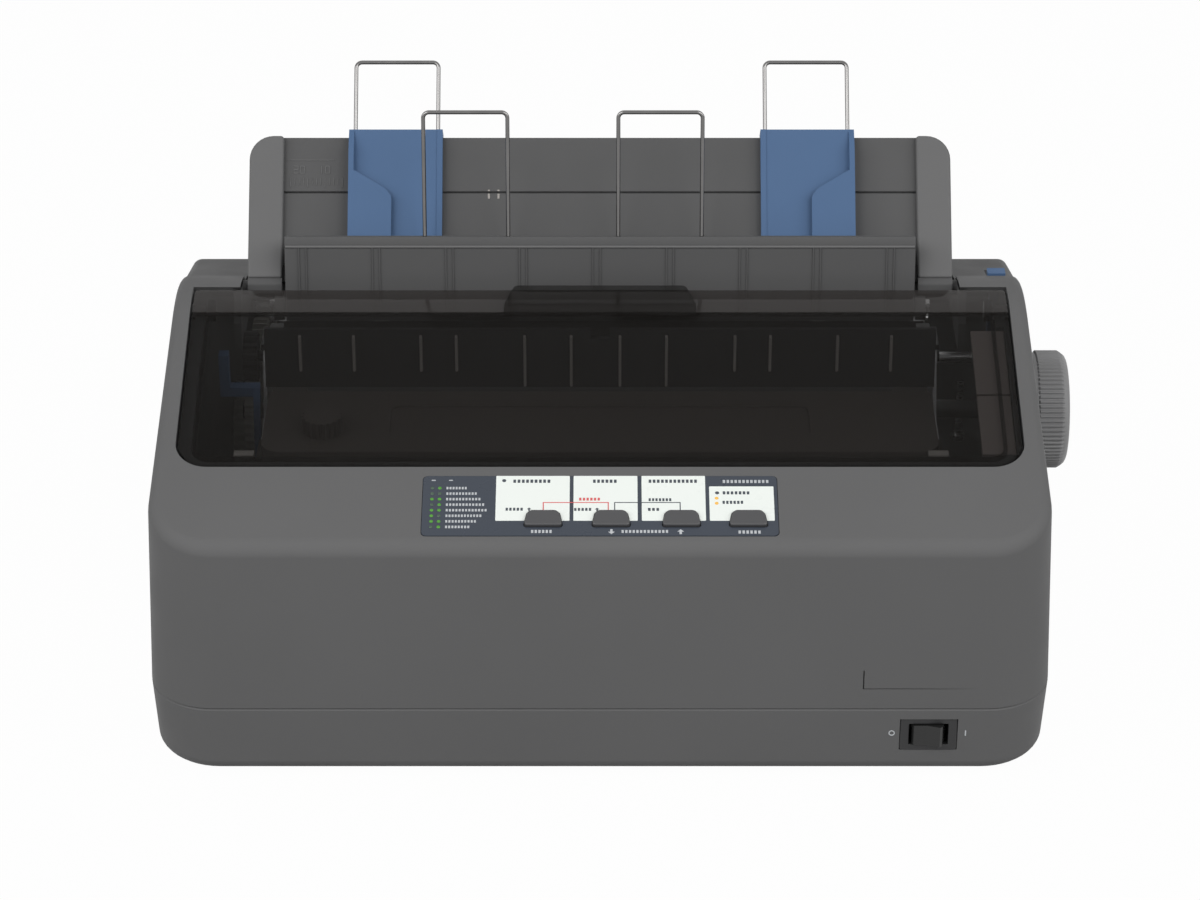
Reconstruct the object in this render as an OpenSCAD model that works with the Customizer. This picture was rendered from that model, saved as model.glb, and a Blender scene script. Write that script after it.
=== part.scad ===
// Narrow-carriage dot matrix printer with a smoked hinged cover, a tilting
// sheet guide, sliding edge guides and a push tractor, built piece by piece.
// X runs to the right, Y to the back and Z up; the feet stand on Z = 0.

/* [Casing] */
// Width of the casing without the platen knob
body_w = 358; // [352:1:380]
// Depth of the casing
body_d = 275; // [272:1:300]
// Height of the seam between the lower and the upper casing
seam_h = 35; // [32:0.5:38]
// Height of the front face
front_h = 110.5; // [109:0.5:116]
// Slope of the top towards the crest, in degrees
top_pitch = 15.5; // [15:0.25:17]
// Distance from the front face back to the crest
crest_y = 143.5; // [141:0.5:146]
// Radius of the rounded crest
crest_r = 56; // [50:1:56]
// Length of the strip between the crest and the step behind it, measured along Y
strip_run = 21; // [21:0.1:22]
// Drop of the top at that step
rear_step = 2.2; // [1:0.1:2.5]
// Slope of the top behind the crest, in degrees
rear_pitch = 20; // [18:1:21]
// Length of the slope behind the crest, measured along Y
rear_run = 76; // [72:1:78]
// Height of the rear face
rear_h = 76; // [72:1:84]
// Wall thickness of both casings
wall = 2.5; // [2:0.1:3]
// Plan radius of the front corners
corner_r = 26; // [18:1:30]
// Plan radius of the rear corners
rear_corner_r = 14; // [10:1:18]
// Inward draft of the upper side walls, in degrees
upper_draft = 2.25; // [1:0.25:2.5]
// Inward taper of the lower casing, in degrees
lower_taper = 3; // [2:0.5:5]
// Radius of the lower casing's bottom edge
bottom_r = 6; // [5:0.5:9]
// Radius of the edge between front and top
edge_r = 8; // [5:0.5:10]
// Height of the rubber feet
foot_h = 4; // [3:0.5:5]
// Radius of the rubber feet
foot_r = 8; // [6:0.5:10]

/* [Printer cover] */
// Half of the cover's width
lid_half_w = 166.4; // [165:0.2:167]
// Distance from the front face back to the cover
lid_front = 42.6; // [41.5:0.1:44]
// Length of the cover, seen from above
lid_len = 99.5; // [98:0.1:100]
// Thickness of the cover
lid_t = 2.4; // [2:0.1:2.6]
// Gap around the cover
lid_gap = 1; // [0.6:0.1:1.2]
// Half of the finger grip's width
grip_half_w = 35; // [30:1:42]
// Height of the finger grip above the cover
grip_h = 2.8; // [2:0.1:3]
// Depth of the finger grip, front to back
grip_len = 17; // [14:0.5:18]

/* [Sheet guide] */
// Lean of the raised sheet guide from the vertical, in degrees
guide_lean = 40; // [38:1:42]
// Half of the sheet guide's width
guide_half_w = 146; // [144:0.5:146.4]
// Height of the sheet guide above the top slope, measured along the guide
guide_len = 56.5; // [50:0.5:60]
// Width of the sheet guide's side columns
column_w = 13; // [10:0.5:15]
// Height of the groove in the sheet guide
guide_slot_z = 33; // [30:0.5:36]
// Lean of the front flap from the vertical, in degrees
flap_lean = 10.7; // [8:0.1:12]
// Length of the front flap
flap_len = 29.5; // [26:0.5:31]
// Half of the front flap's width
flap_half_w = 130; // [126:0.5:131]
// Outer edge of each paper edge guide, from the middle
edge_guide_x = 105.25; // [95:0.25:110]
// Width of each paper edge guide
edge_guide_w = 39; // [36:0.5:42]
// Depth of the edge guides' side walls
edge_wall_d = 6.5; // [5:0.25:7]
// Radius of the wire paper supports
wire_r = 0.85; // [0.7:0.05:0.9]
// Width of each wire paper support, between leg centres
wire_w = 34.4; // [32:0.2:35]
// Height of the rear wires above the sheet guide's base
rear_wire_top = 88.5; // [78:0.5:92]
// Length of the front wires
front_wire_len = 85.5; // [76:0.5:90]
// Middle of the left front wire
front_wire_x1 = -55; // [-56:0.5:-50]
// Middle of the right front wire
front_wire_x2 = 24.7; // [20:0.5:28]

/* [Controls] */
// Width of the control panel
panel_w = 138; // [134:1:146]
// Length of the control panel up the top slope
panel_len = 32; // [31:0.5:33]
// Start of the control panel, up the top slope from the front edge
panel_start = 6; // [5:0.25:7]
// Width of each push button
button_w = 15; // [13:0.2:16]
// Length of each push button
button_len = 8; // [6.5:0.1:9]
// Height of the push buttons above the panel
button_h = 1.6; // [1.2:0.1:2.4]
// Travel of the push buttons
button_travel = 0.8; // [0.4:0.1:1]
// Middle of the power switch, from the middle of the casing
switch_x = 130; // [120:0.5:134]
// Width of the power switch's bezel
bezel_w = 22.6; // [21:0.1:24]
// Height of the power switch's bezel
bezel_h = 14.6; // [13:0.1:15]
// Radius of the platen knob
knob_r = 24.8; // [20:0.2:26]
// Length of the platen knob
knob_len = 15.5; // [14:0.5:20]
// Number of grip ribs round the knob
knob_ribs = 76; // [40:1:90]

/* [Mechanism] */
// Half of the distance between the side plates' inner faces
frame_half = 138; // [137.5:0.1:139]
// Thickness of the sheet metal of the frame
sheet_t = 1.5; // [1.2:0.1:1.8]
// Radius of the platen roller
platen_r = 12.5; // [11.8:0.1:12.6]
// Half of the platen roller's length
platen_half = 128; // [124:0.5:130]
// Radius of the platen shaft
platen_shaft_r = 4; // [3.5:0.1:4.5]
// Radius of the carriage shaft
carriage_shaft_r = 4; // [3.5:0.1:4.5]
// Running clearance between a shaft and its bore, on the radius
run_fit = 0.05; // [0.02:0.01:0.08]
// Distance of the parked carriage from the middle
park_x = 98; // [94:0.5:99]
// Width of the carriage
carriage_w = 52; // [44:1:54]
// Module of the feed gears
gear_m = 1.25; // [1.2:0.01:1.27]
// Half of the distance between the tractors' middles
tractor_x = 95; // [90:1:105]
// Width of each tractor
tractor_w = 18; // [16:0.5:20]
// Radius of the tractor sprockets
sprocket_r = 9; // [8:0.2:9.4]

/* [Hidden] */

eps = 0.01;
half_w = body_w / 2;
front_y = -body_d / 2;
back_y = body_d / 2;
crest = [front_y + crest_y, front_h + crest_y * tan(top_pitch)];
shoulder = [crest[0] + rear_run, crest[1] - rear_run * tan(rear_pitch)];
step_edge = [crest[0] + strip_run, crest[1] - strip_run * tan(rear_pitch)];
knob_in = half_w + 1.5;
knob_out = knob_in + knob_len;
// The origin lies under the middle of everything, and the knob stands out on the right only
centre_x = -(knob_out - half_w) / 2;

platen = [18, 84];
carriage_axis = [-22, 66];
tractor_axis = [82, 100];
guide_axis = [82, 84];
guide_pivot = [20, 141];
guide_base = [22, 148];
flap_pivot = [11, 133];
bay_half = 148.3;
skirt_z = 119;
floor_z = foot_h + wall;
plate_z = 12;
frame_front = -75;
frame_back = 112;
frame_z = plate_z + sheet_t;
gear_x = frame_half + sheet_t + 3;
gear_w = 6;
gear_step = 7;
lid_front_y = front_y + lid_front;
lid_back_y = lid_front_y + lid_len;
lid_pivot = [-3, 141.5];
lid_pin_r = 1.6;
panel_t = 0.8;
board_drop = 10.5;
board_t = 1.6;
skin_gap = 0.3;
boss_r = 4.5;
screw_r = 1.5;

//---------------------------------------------------------------- helpers

function unit(v) = v / norm(v);
function side_normal(a, b) = let (u = unit(b - a)) [-u[1], u[0]];

// Outline p, listed anticlockwise, moved inwards by d
function inset(p, d) = [for (i = [0:len(p) - 1]) let (
  n = side_normal(p[(i + len(p) - 1) % len(p)], p[i]),
  m = side_normal(p[i], p[(i + 1) % len(p)]))
  p[i] + (n + m) * d / (1 + n * m)];

// Outline p with corner i rounded to the radius r[i] in k steps
function rounded(p, r, k = 6) = [for (i = [0:len(p) - 1]) let (
  u = unit(p[(i + len(p) - 1) % len(p)] - p[i]),
  v = unit(p[(i + 1) % len(p)] - p[i]),
  half = acos(u * v) / 2,
  mid = p[i] + unit(u + v) * r[i] / sin(half),
  s = p[i] + u * r[i] / tan(half) - mid,
  e = p[i] + v * r[i] / tan(half) - mid,
  a = atan2(s[1], s[0]),
  turn = (atan2(e[1], e[0]) - a + 540) % 360 - 180)
  each r[i] < 0.05 ? [p[i]] :
  [for (j = [0:k]) mid + r[i] * [cos(a + turn * j / k), sin(a + turn * j / k)]]];

function box_outline(w, h) = [[-w / 2, -h / 2], [w / 2, -h / 2], [w / 2, h / 2], [-w / 2, h / 2]];

// Child outline in Y and Z, drawn out along X
module along_x(x0, x1) {
  rotate([90, 0, 90]) translate([0, 0, x0]) linear_extrude(x1 - x0) children();
}

// Child outline in X and Z, drawn out along Y
module along_y(y0, y1) {
  rotate([90, 0, 0]) translate([0, 0, -y1]) linear_extrude(y1 - y0) children();
}

// Rod along X at the place at = [y, z]
module rod_x(at, r, x0, x1) {
  translate([x0, at[0], at[1]]) rotate([0, 90, 0]) cylinder(r = r, h = x1 - x0, $fn = 48);
}

module block(x, y, z) {
  translate([x[0], y[0], z[0]]) cube([x[1] - x[0], y[1] - y[0], z[1] - z[0]]);
}

// Span of two numbers, d to either side of c
function about(c, d) = [c - d, c + d];

module mirrored() {
  children();
  mirror([1, 0, 0]) children();
}

// Everything is drawn about the middle of the casing and moved here once
module at_case() {
  translate([centre_x, 0, 0]) children();
}

// Frame on the top slope: X to the right, Y up the slope, Z out of it
module on_slope() {
  translate([0, front_y, front_h]) rotate([top_pitch, 0, 0]) children();
}

// Frame on the raised sheet guide: Z up the guide, -Y out of its front
module on_guide() {
  translate([0, guide_base[0], guide_base[1]]) rotate([-guide_lean, 0, 0]) children();
}

// Frame on the front flap, in the same way
module on_flap() {
  translate([0, flap_pivot[0], flap_pivot[1]]) rotate([-flap_lean, 0, 0]) children();
}

//---------------------------------------------------------------- casing

function upper_side() = [
  [front_y + 1, seam_h], [back_y, seam_h], [back_y, rear_h], shoulder,
  step_edge + [0.3, -rear_step], step_edge, crest, [front_y, front_h]];
upper_side_r = [0, 0, 10, 16, 0, 0, crest_r, edge_r];

// Side view of the upper casing, moved inwards by d; below zero it grows
function side_view(d) = rounded(inset(upper_side(), d), [for (r = upper_side_r) max(r - d, 0)]);

function upper_front() = let (h = crest[1] + 2, d = (h - seam_h) * tan(upper_draft))
  [[-half_w, seam_h], [half_w, seam_h], [half_w - d, h], [-half_w + d, h]];

function plan_outline() =
  [[-half_w, front_y], [half_w, front_y], [half_w, back_y], [-half_w, back_y]];
plan_r = [corner_r, corner_r, rear_corner_r, rear_corner_r];

// Solid inside the upper casing's skin, moved inwards by d
module upper_solid(d) {
  intersection() {
    along_x(-half_w, half_w) polygon(side_view(d));
    along_y(front_y, back_y) polygon(inset(upper_front(), d));
    linear_extrude(crest[1] + 10) polygon(rounded(inset(plan_outline(), d), [for (r = plan_r) r - d]));
  }
}

function lower_front() = let (d = (seam_h - foot_h) * tan(lower_taper))
  [[-half_w + d, foot_h], [half_w - d, foot_h], [half_w, seam_h], [-half_w, seam_h]];

function lower_side() = let (d = (seam_h - foot_h) * tan(lower_taper))
  [[front_y + 1 + d, foot_h], [back_y - 1, foot_h], [back_y, seam_h], [front_y + 1, seam_h]];

module lower_solid(d) {
  r = bottom_r - d;
  intersection() {
    along_y(front_y, back_y) polygon(rounded(inset(lower_front(), d), [r, r, 0, 0]));
    along_x(-half_w, half_w) polygon(rounded(inset(lower_side(), d), [r, r, 0, 0]));
    linear_extrude(seam_h) polygon(rounded(inset(plan_outline(), d), [for (r = plan_r) r - d]));
  }
}

function boss_spots() = [for (x = [-1, 1], y = [-1, 1])
  [x * (half_w - corner_r * 0.62), y > 0 ? back_y - rear_corner_r * 1.1 : front_y + corner_r * 0.62]];

standoff_spots = [for (x = [-120, 0, 120], y = [-85, 100]) [x, y]];

module lower_case() {
  color("dimgray") at_case() difference() {
    union() {
      difference() {
        lower_solid(0);
        translate([0, 0, eps]) lower_solid(wall);
        block([-half_w, half_w], [front_y, back_y], [seam_h - wall - eps, seam_h + 1]);
      }
      // Band below the seam, with the same wall
      difference() {
        intersection() {
          lower_solid(0);
          block([-half_w, half_w], [front_y, back_y], [seam_h - wall - 1, seam_h]);
        }
        linear_extrude(seam_h + 1)
          polygon(rounded(inset(plan_outline(), wall + 1.2), [for (r = plan_r) r - wall - 1.2]));
      }
      // Tubes for the casing screws
      for (p = boss_spots()) translate([p[0], p[1], floor_z - 1]) cylinder(r = boss_r, h = 20, $fn = 32);
      // Posts that carry the bottom plate
      for (p = standoff_spots) translate([p[0], p[1], floor_z - 1])
        cylinder(r = 4, h = plate_z - floor_z + 1, $fn = 32);
    }
    for (p = boss_spots()) translate([p[0], p[1], 0]) {
      cylinder(r = screw_r + 0.2, h = seam_h, $fn = 32);
      cylinder(r = 3.4, h = floor_z + 6, $fn = 32);
    }
    // Window of the power switch
    block([switch_x - bezel_w / 2 + 1, switch_x + bezel_w / 2 - 1], [front_y - 1, front_y + 12],
      [switch_z - bezel_h / 2 + 1, switch_z + bezel_h / 2 - 1]);
    // Flat seat round that window
    block([switch_x - bezel_w / 2 - 0.2, switch_x + bezel_w / 2 + 0.2], [front_y - 1, switch_y],
      [switch_z - bezel_h / 2 - 0.2, switch_z + bezel_h / 2 + 0.2]);
    // Windows of the mains inlet and the three sockets at the back
    for (w = rear_sockets) block([w[0] - w[1] / 2 - 0.2, w[0] + w[1] / 2 + 0.2], [back_y - 8, back_y + 1],
      [socket_z, seam_h + 1]);
    // Cooling slots under the power supply
    for (i = [0:9]) block([-140 + i * 7, -137 + i * 7], [30, 70], [foot_h - 1, floor_z + 1]);
  }
}

switch_z = 22.7;
switch_y = front_y + 3.4;
socket_z = frame_z + 4 + board_t;
// Middle, width and height of each opening in the rear wall
rear_sockets = [[-132, 28, 20.5], [-20, 14, 12.5], [40, 56, 14], [104, 31, 13]];

// Plan of the cover, grown by d on its front and its sides
function lid_plan(d) = let (w = lid_half_w + d, y = lid_front_y - d)
  rounded([[-w, y], [w, y], [w, lid_back_y], [-w, lid_back_y]], [12 + d, 12 + d, 0, 0]);

// Sheet that follows the top of the casing, between the depths a and b
module top_sheet(a, b) {
  along_x(-half_w, half_w) difference() {
    polygon(side_view(a));
    polygon(side_view(b));
    translate([front_y - 20, 0]) square([body_d + 40, front_h - 12]);
  }
}

lid_seat = 5;
// Radius about the hinge pins that the cover's rear edge sweeps, with room to spare
swing_r = 12.2;

// Solid of the upper casing before its holes are cut, without the blocks of the cover's hinge
module upper_body() {
  difference() {
    union() {
      difference() {
        upper_solid(0);
        translate([0, 0, -eps]) upper_solid(wall);
        block([-half_w, half_w], [front_y, back_y], [seam_h - 1, seam_h + wall + eps]);
      }
      // Band above the seam
      difference() {
        intersection() {
          upper_solid(0);
          block([-half_w, half_w], [front_y, back_y], [seam_h, seam_h + wall + 1]);
        }
        translate([0, 0, seam_h - 1]) linear_extrude(wall + 3)
          polygon(rounded(inset(plan_outline(), wall + 1.2), [for (r = plan_r) r - wall - 1.2]));
      }
      // Ledge under the rim of the cover
      intersection() {
        upper_solid(wall / 2);
        top_sheet(lid_t + 0.4, lid_t + 3);
        linear_extrude(crest[1] + 9) polygon(lid_plan(4));
      }
      // Posts that carry the board under the control panel
      on_slope() for (p = board_posts()) translate([p[0], p[1], -board_drop])
        cylinder(r = 3, h = board_drop - 1, $fn = 32);
      // Side walls of the paper bay
      intersection() {
        upper_solid(wall / 2);
        mirrored() block([bay_half, bay_half + 3], [lid_back_y, back_y - 1], [skirt_z, crest[1]]);
      }
      // Posts for the casing screws
      for (p = boss_spots()) translate([p[0], p[1], floor_z + 19.2])
        cylinder(r = boss_r, h = 34, $fn = 32);
      intersection() {
        upper_solid(wall / 2);
        for (p = boss_spots()) block([min(p[0], sign(p[0]) * half_w), max(p[0], sign(p[0]) * half_w)],
          [p[1] - 1, p[1] + 1], [seam_h + 1, floor_z + 53]);
      }
    }
    // Room for the cover's rear edge as it swings down
    intersection() {
      rod_x(lid_pivot, swing_r, -lid_half_w - lid_gap, lid_half_w + lid_gap);
      block([-half_w, half_w], [lid_pivot[0], back_y], [skirt_z, crest[1] + 9]);
    }
  }
}

module upper_case() {
  color("dimgray") at_case() difference() {
    union() {
      upper_body();
      // Blocks with the sockets of the cover's hinge pins
      mirrored() {
        rod_x(lid_pivot, 3, lid_half_w - lid_seat + 0.3, half_w - 5);
        block([lid_half_w - lid_seat + 0.3, half_w - 5], [lid_pivot[0] - 4.5, lid_pivot[0] + 3],
          [lid_pivot[1] - 5, lid_pivot[1]]);
      }
    }
    // Opening for the cover
    intersection() {
      top_sheet(-9, lid_t + 0.5);
      linear_extrude(crest[1] + 20) polygon(lid_plan(lid_gap));
    }
    translate([0, 0, seam_h + 40]) linear_extrude(crest[1]) polygon(lid_plan(-lid_seat));
    // Sockets for the cover's hinge pins
    mirrored() rod_x(lid_pivot, lid_pin_r + run_fit, lid_half_w - lid_seat - 1, lid_half_w + 0.6);
    // Paper bay, open to the back
    block([-bay_half, bay_half], [lid_back_y - 2, back_y + 1], [rear_h - 12, crest[1] + 20]);
    // Bores for the sheet guide's pivots
    rod_x(guide_pivot, 3 + run_fit, -bay_half - 2.4, bay_half + 2.4);
    // Room for the eject roller's gear beside the bay's left wall
    rod_x(eject_axis, gear_m * eject_teeth / 2 + 2.5, -bay_half - 1, -bay_half + 1);
    // Hole for the platen shaft
    rod_x(platen, 8, half_w - 15, half_w + 5);
    // Seat of the control panel, with the windows of its buttons and lights
    on_slope() {
      block([-panel_w / 2 - 0.2, panel_w / 2 + 0.2], [panel_start - 0.2, panel_start + panel_len + 0.2],
        [-panel_t, 10]);
      for (x = button_xs) translate([x, button_y, -8]) button_shape(0.6, 16);
      block([lamp_x - 6, lamp_x + 6], [panel_start + 4, panel_start + panel_len - 4], [-8, 4]);
    }
    // Slot of the paper release lever
    block(about(lever_x, 2.4), [step_edge[0] + 0.6, step_edge[0] + 24.4], [skirt_z + 8, crest[1] + 9]);
    // Windows over the sockets at the back
    for (w = rear_sockets) if (socket_z + w[2] > seam_h)
      block(about(w[0], w[1] / 2 + 0.2), [back_y - 8, back_y + 1], [seam_h - 1, socket_z + w[2] + 0.2]);
    // Shallow seat of the bare name plate
    block([103.4, 150], [front_y - 1, front_y + 0.9], [44.5, 53.2]);
    for (p = boss_spots()) translate([p[0], p[1], floor_z + 18]) cylinder(r = screw_r, h = 22, $fn = 32);
    on_slope() for (p = board_posts()) translate([p[0], p[1], -board_drop - 1])
      cylinder(r = 1.2, h = 6, $fn = 32);
  }
}

module rubber_feet() {
  color([0.08, 0.08, 0.08]) at_case() for (x = [-1, 1], y = [-1, 1])
    translate([x * (half_w - 34), y * (body_d / 2 - 34), 0])
      rotate_extrude($fn = 48)
        polygon([[0, 0], [foot_r - 1, 0], [foot_r, 1], [foot_r, foot_h], [0, foot_h]]);
}

module case_screws() {
  color("silver") at_case() for (p = boss_spots()) translate([p[0], p[1], floor_z + 3.4]) difference() {
    union() {
      cylinder(r = 3, h = 2.6, $fn = 32);
      cylinder(r = screw_r - 0.02, h = 30, $fn = 32);
    }
    for (a = [0, 90]) rotate(a) block([-1.8, 1.8], [-0.4, 0.4], [-1, 1.4]);
  }
}

module bottom_plate() {
  color("silver") at_case() difference() {
    block([-frame_half - 12, frame_half + 12], [frame_front - 30, frame_back + 8], [plate_z, frame_z]);
    for (i = [-5:5], y = [40, 70]) translate([i * 22, y, plate_z - 1]) cylinder(r = 4, h = 5, $fn = 32);
  }
}

//---------------------------------------------------------------- mechanism

function side_plate_outline() = [
  [frame_front, frame_z], [frame_back, frame_z], [frame_back, 92], [96, 112], [66, 112], [58, 96],
  [30, 96], [24, rest_z], [2, rest_z], [-10, cartridge_seat], [-56, cartridge_seat], [frame_front, 76]];

rest_z = 120;
cartridge_seat = 94.2;

module side_plate(s) {
  color("lightgray") at_case() mirror([s < 0 ? 1 : 0, 0, 0]) difference() {
    union() {
      along_x(frame_half, frame_half + sheet_t)
        polygon(rounded(side_plate_outline(), [0, 0, 5, 5, 5, 5, 5, 5, 5, 5, 5, 5], 4));
      block([frame_half, frame_half + 9], [frame_front + 8, frame_back - 8], [frame_z, frame_z + sheet_t]);
    }
    rod_x(platen, platen_shaft_r + 3, frame_half - 1, frame_half + 3);
    rod_x(carriage_axis, carriage_shaft_r, frame_half - 1, frame_half + 3);
    rod_x(eject_axis, 2.5 + run_fit, frame_half - 1, frame_half + 3);
    rod_x(tractor_axis, 4 + run_fit, frame_half - 1, frame_half + 3);
    rod_x(guide_axis, 3, frame_half - 1, frame_half + 3);
    if (s < 0) rod_x(motor_at, 6, frame_half - 1, frame_half + 3);
    for (p = s < 0 ? [reduction_at, idler_at] : [lever_axis])
      rod_x(p, 2.5, frame_half - 1, frame_half + 3);
    if (s < 0) rod_x(carriage_axis + [0, 14], 1.5, frame_half - 1, frame_half + 3);
    rod_x([frame_front + 14, 40], 6, frame_half - 1, frame_half + 3);
    rod_x([frame_back - 16, 60], 8, frame_half - 1, frame_half + 3);
  }
}

module left_side_plate() { side_plate(-1); }
module right_side_plate() { side_plate(1); }

module platen_shaft() {
  color("silver") at_case() difference() {
    rod_x(platen, platen_shaft_r, -gear_x - gear_w - 2, knob_out - 6);
    for (x = [[-gear_x - gear_w - 3, -gear_x + 1], [knob_in + 2, knob_out]])
      block(x, [platen[0] - 5, platen[0] + 5], [platen[1] + platen_shaft_r - 1, platen[1] + 6]);
  }
}

module platen_roller() {
  color([0.1, 0.1, 0.1]) at_case() difference() {
    rod_x(platen, platen_r, -platen_half, platen_half);
    rod_x(platen, platen_shaft_r, -platen_half - 1, platen_half + 1);
  }
}

// Flanged bushes of the platen shaft in the side plates
module shaft_bearings() {
  color("ivory") at_case() mirrored() difference() {
    union() {
      rod_x(platen, platen_shaft_r + 3, frame_half - 1.5, frame_half + sheet_t + 1.2);
      rod_x(platen, platen_shaft_r + 5, frame_half - 2.5, frame_half);
    }
    rod_x(platen, platen_shaft_r + run_fit, frame_half - 5, frame_half + 9);
  }
}

module platen_knob() {
  color([0.28, 0.28, 0.28]) at_case() difference() {
    union() {
      along_x(knob_in + 3, knob_out - 2.5) translate(platen)
        polygon(rib_ring(knob_ribs, knob_r - 0.7, knob_r));
      rod_x(platen, knob_r - 1.2, knob_in, knob_out - 0.8);
      rod_x(platen, knob_r - 3.2, knob_out - 2, knob_out);
    }
    rod_x(platen, knob_r - 6, knob_in - 1, knob_in + 6);
    rod_x(platen, knob_r - 5, knob_out - 1, knob_out + 1);
    difference() {
      rod_x(platen, platen_shaft_r, knob_in - 1, knob_out - 6);
      block([knob_in + 2, knob_out], [platen[0] - 5, platen[0] + 5],
        [platen[1] + platen_shaft_r - 1, platen[1] + 6]);
    }
  }
}

function rib_ring(n, r0, r1) = [for (i = [0:n - 1], s = [[-0.3, r0], [-0.16, r1], [0.16, r1], [0.3, r0]])
  let (a = 360 * (i + s[0]) / n) s[1] * [cos(a), sin(a)]];

//---------------------------------------------------------------- gears

press = 20;
function involute(a) = (tan(a) - a * PI / 180) * 180 / PI;

// Outline of a spur gear with n teeth; a tooth stands at the angle turn
function gear_outline(n, turn) = let (
  rp = gear_m * n / 2, rb = rp * cos(press), rt = rp + 0.9 * gear_m, rr = rp - 1.2 * gear_m,
  back = 0.12 / rp * 180 / PI)
  [for (i = [0:n - 1], s = [-1, 1], r = s < 0 ? [rr, rp, rt] : [rt, rp, rr]) let (
    tip = involute(acos(min(1, rb / max(r, rb)))),
    half = 90 / n - back + involute(press) - tip,
    a = turn + 360 * i / n + s * half)
    r * [cos(a), sin(a)]];

// Turn of a gear with n2 teeth that meshes with one of n1 teeth, along the direction dir
function mesh_turn(dir, n1, turn1, n2) = dir + 180 - 360 / n2 * (0.5 - (dir - turn1) * n1 / 360);

platen_teeth = 32;
big_teeth = 30;
small_teeth = 12;
pinion_teeth = 10;
idler_teeth = 26;
tractor_teeth = 22;
eject_teeth = 15;
function apart(n1, n2) = gear_m * (n1 + n2) / 2 + 0.1;
function heading(a) = [cos(a), sin(a)];
function bearing(a, b) = atan2(b[1] - a[1], b[0] - a[0]);

reduction_dir = -50;
motor_dir = -40;
reduction_at = platen + apart(platen_teeth, small_teeth) * heading(reduction_dir);
motor_at = reduction_at + apart(big_teeth, pinion_teeth) * heading(motor_dir);
// The idler stands where its distances to the platen gear and the tractor gear both fit
idler_d1 = apart(platen_teeth, idler_teeth);
idler_d2 = apart(idler_teeth, tractor_teeth);
idler_span = norm(tractor_axis - platen);
idler_lift = acos((idler_d1 ^ 2 + idler_span ^ 2 - idler_d2 ^ 2) / (2 * idler_d1 * idler_span));
idler_dir = bearing(platen, tractor_axis) - idler_lift;
idler_at = platen + idler_d1 * heading(idler_dir);
tractor_dir = bearing(idler_at, tractor_axis);

eject_dir = 101.7;
eject_axis = platen + apart(platen_teeth, eject_teeth) * heading(eject_dir);
eject_turn = mesh_turn(eject_dir, platen_teeth, 0, eject_teeth);
small_turn = mesh_turn(reduction_dir, platen_teeth, 0, small_teeth);
pinion_turn = mesh_turn(motor_dir, big_teeth, 0, pinion_teeth);
idler_turn = mesh_turn(idler_dir, platen_teeth, 0, idler_teeth);
tractor_turn = mesh_turn(tractor_dir, idler_teeth, idler_turn, tractor_teeth);

// Gear wheel at the place at, from x to x + gear_w on the left side
module gear(at, n, turn, x) {
  along_x(-x - gear_w, -x) translate(at) polygon(gear_outline(n, turn));
}

module platen_gear() {
  color("ivory") at_case() difference() {
    gear(platen, platen_teeth, 0, gear_x);
    for (a = [0:60:300])
      rod_x(platen + 12 * heading(a), 3, -gear_x - gear_w - 1, -gear_x + 1);
    difference() {
      rod_x(platen, platen_shaft_r, -gear_x - gear_w - 1, -gear_x + 1);
      block([-gear_x - gear_w - 3, -gear_x + 1], [platen[0] - 5, platen[0] + 5],
        [platen[1] + platen_shaft_r - 1, platen[1] + 6]);
    }
  }
}

module reduction_gear() {
  color("ivory") at_case() difference() {
    union() {
      gear(reduction_at, small_teeth, small_turn, gear_x);
      rod_x(reduction_at, gear_m * small_teeth / 2 - 1.6, -gear_x - gear_step - 1, -gear_x - gear_w + 1);
      gear(reduction_at, big_teeth, 0, gear_x + gear_step);
    }
    rod_x(reduction_at, 2.5 + run_fit, -gear_x - 20, -gear_x + 1);
  }
}

module tractor_idler_gear() {
  color("ivory") at_case() difference() {
    gear(idler_at, idler_teeth, idler_turn, gear_x);
    for (a = [30:60:330])
      rod_x(idler_at + 9 * heading(a), 2.4, -gear_x - gear_w - 1, -gear_x + 1);
    rod_x(idler_at, 2.5 + run_fit, -gear_x - 20, -gear_x + 1);
  }
}

module gear_studs() {
  color("silver") at_case() {
    difference() {
      rod_x(reduction_at, 2.5, -gear_x - gear_step - gear_w - 1, -frame_half);
      rod_x(reduction_at, 1, -gear_x - gear_step - gear_w - 2, -gear_x - gear_step);
    }
    rod_x(idler_at, 2.5, -gear_x - gear_w - 1, -frame_half);
    rod_x(lever_axis, 2.5, frame_half, lever_x + 2.2);
    rod_x(carriage_axis + [0, 14], 1.5, -frame_half - sheet_t - 3, -frame_half);
  }
}

motor_r = 20;
motor_len = 25;

module feed_motor() {
  color("gray") at_case() difference() {
    union() {
      rod_x(motor_at, motor_r, -frame_half + 1, -frame_half + motor_len);
      rod_x(motor_at, 6, -frame_half - sheet_t, -frame_half + 2);
      along_x(-frame_half, -frame_half + 1) translate(motor_at)
        polygon(rounded(box_outline(54, 24), [6, 6, 6, 6]));
    }
    rod_x(motor_at, 2 + run_fit, -frame_half - 3, -frame_half + motor_len - 4);
  }
}

module feed_motor_pinion() {
  color("goldenrod") at_case() {
    gear(motor_at, pinion_teeth, pinion_turn, gear_x + gear_step);
    rod_x(motor_at, 2, -gear_x - gear_step, -frame_half + motor_len - 6);
  }
}

//---------------------------------------------------------------- tractors

square = 5.6;

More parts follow.
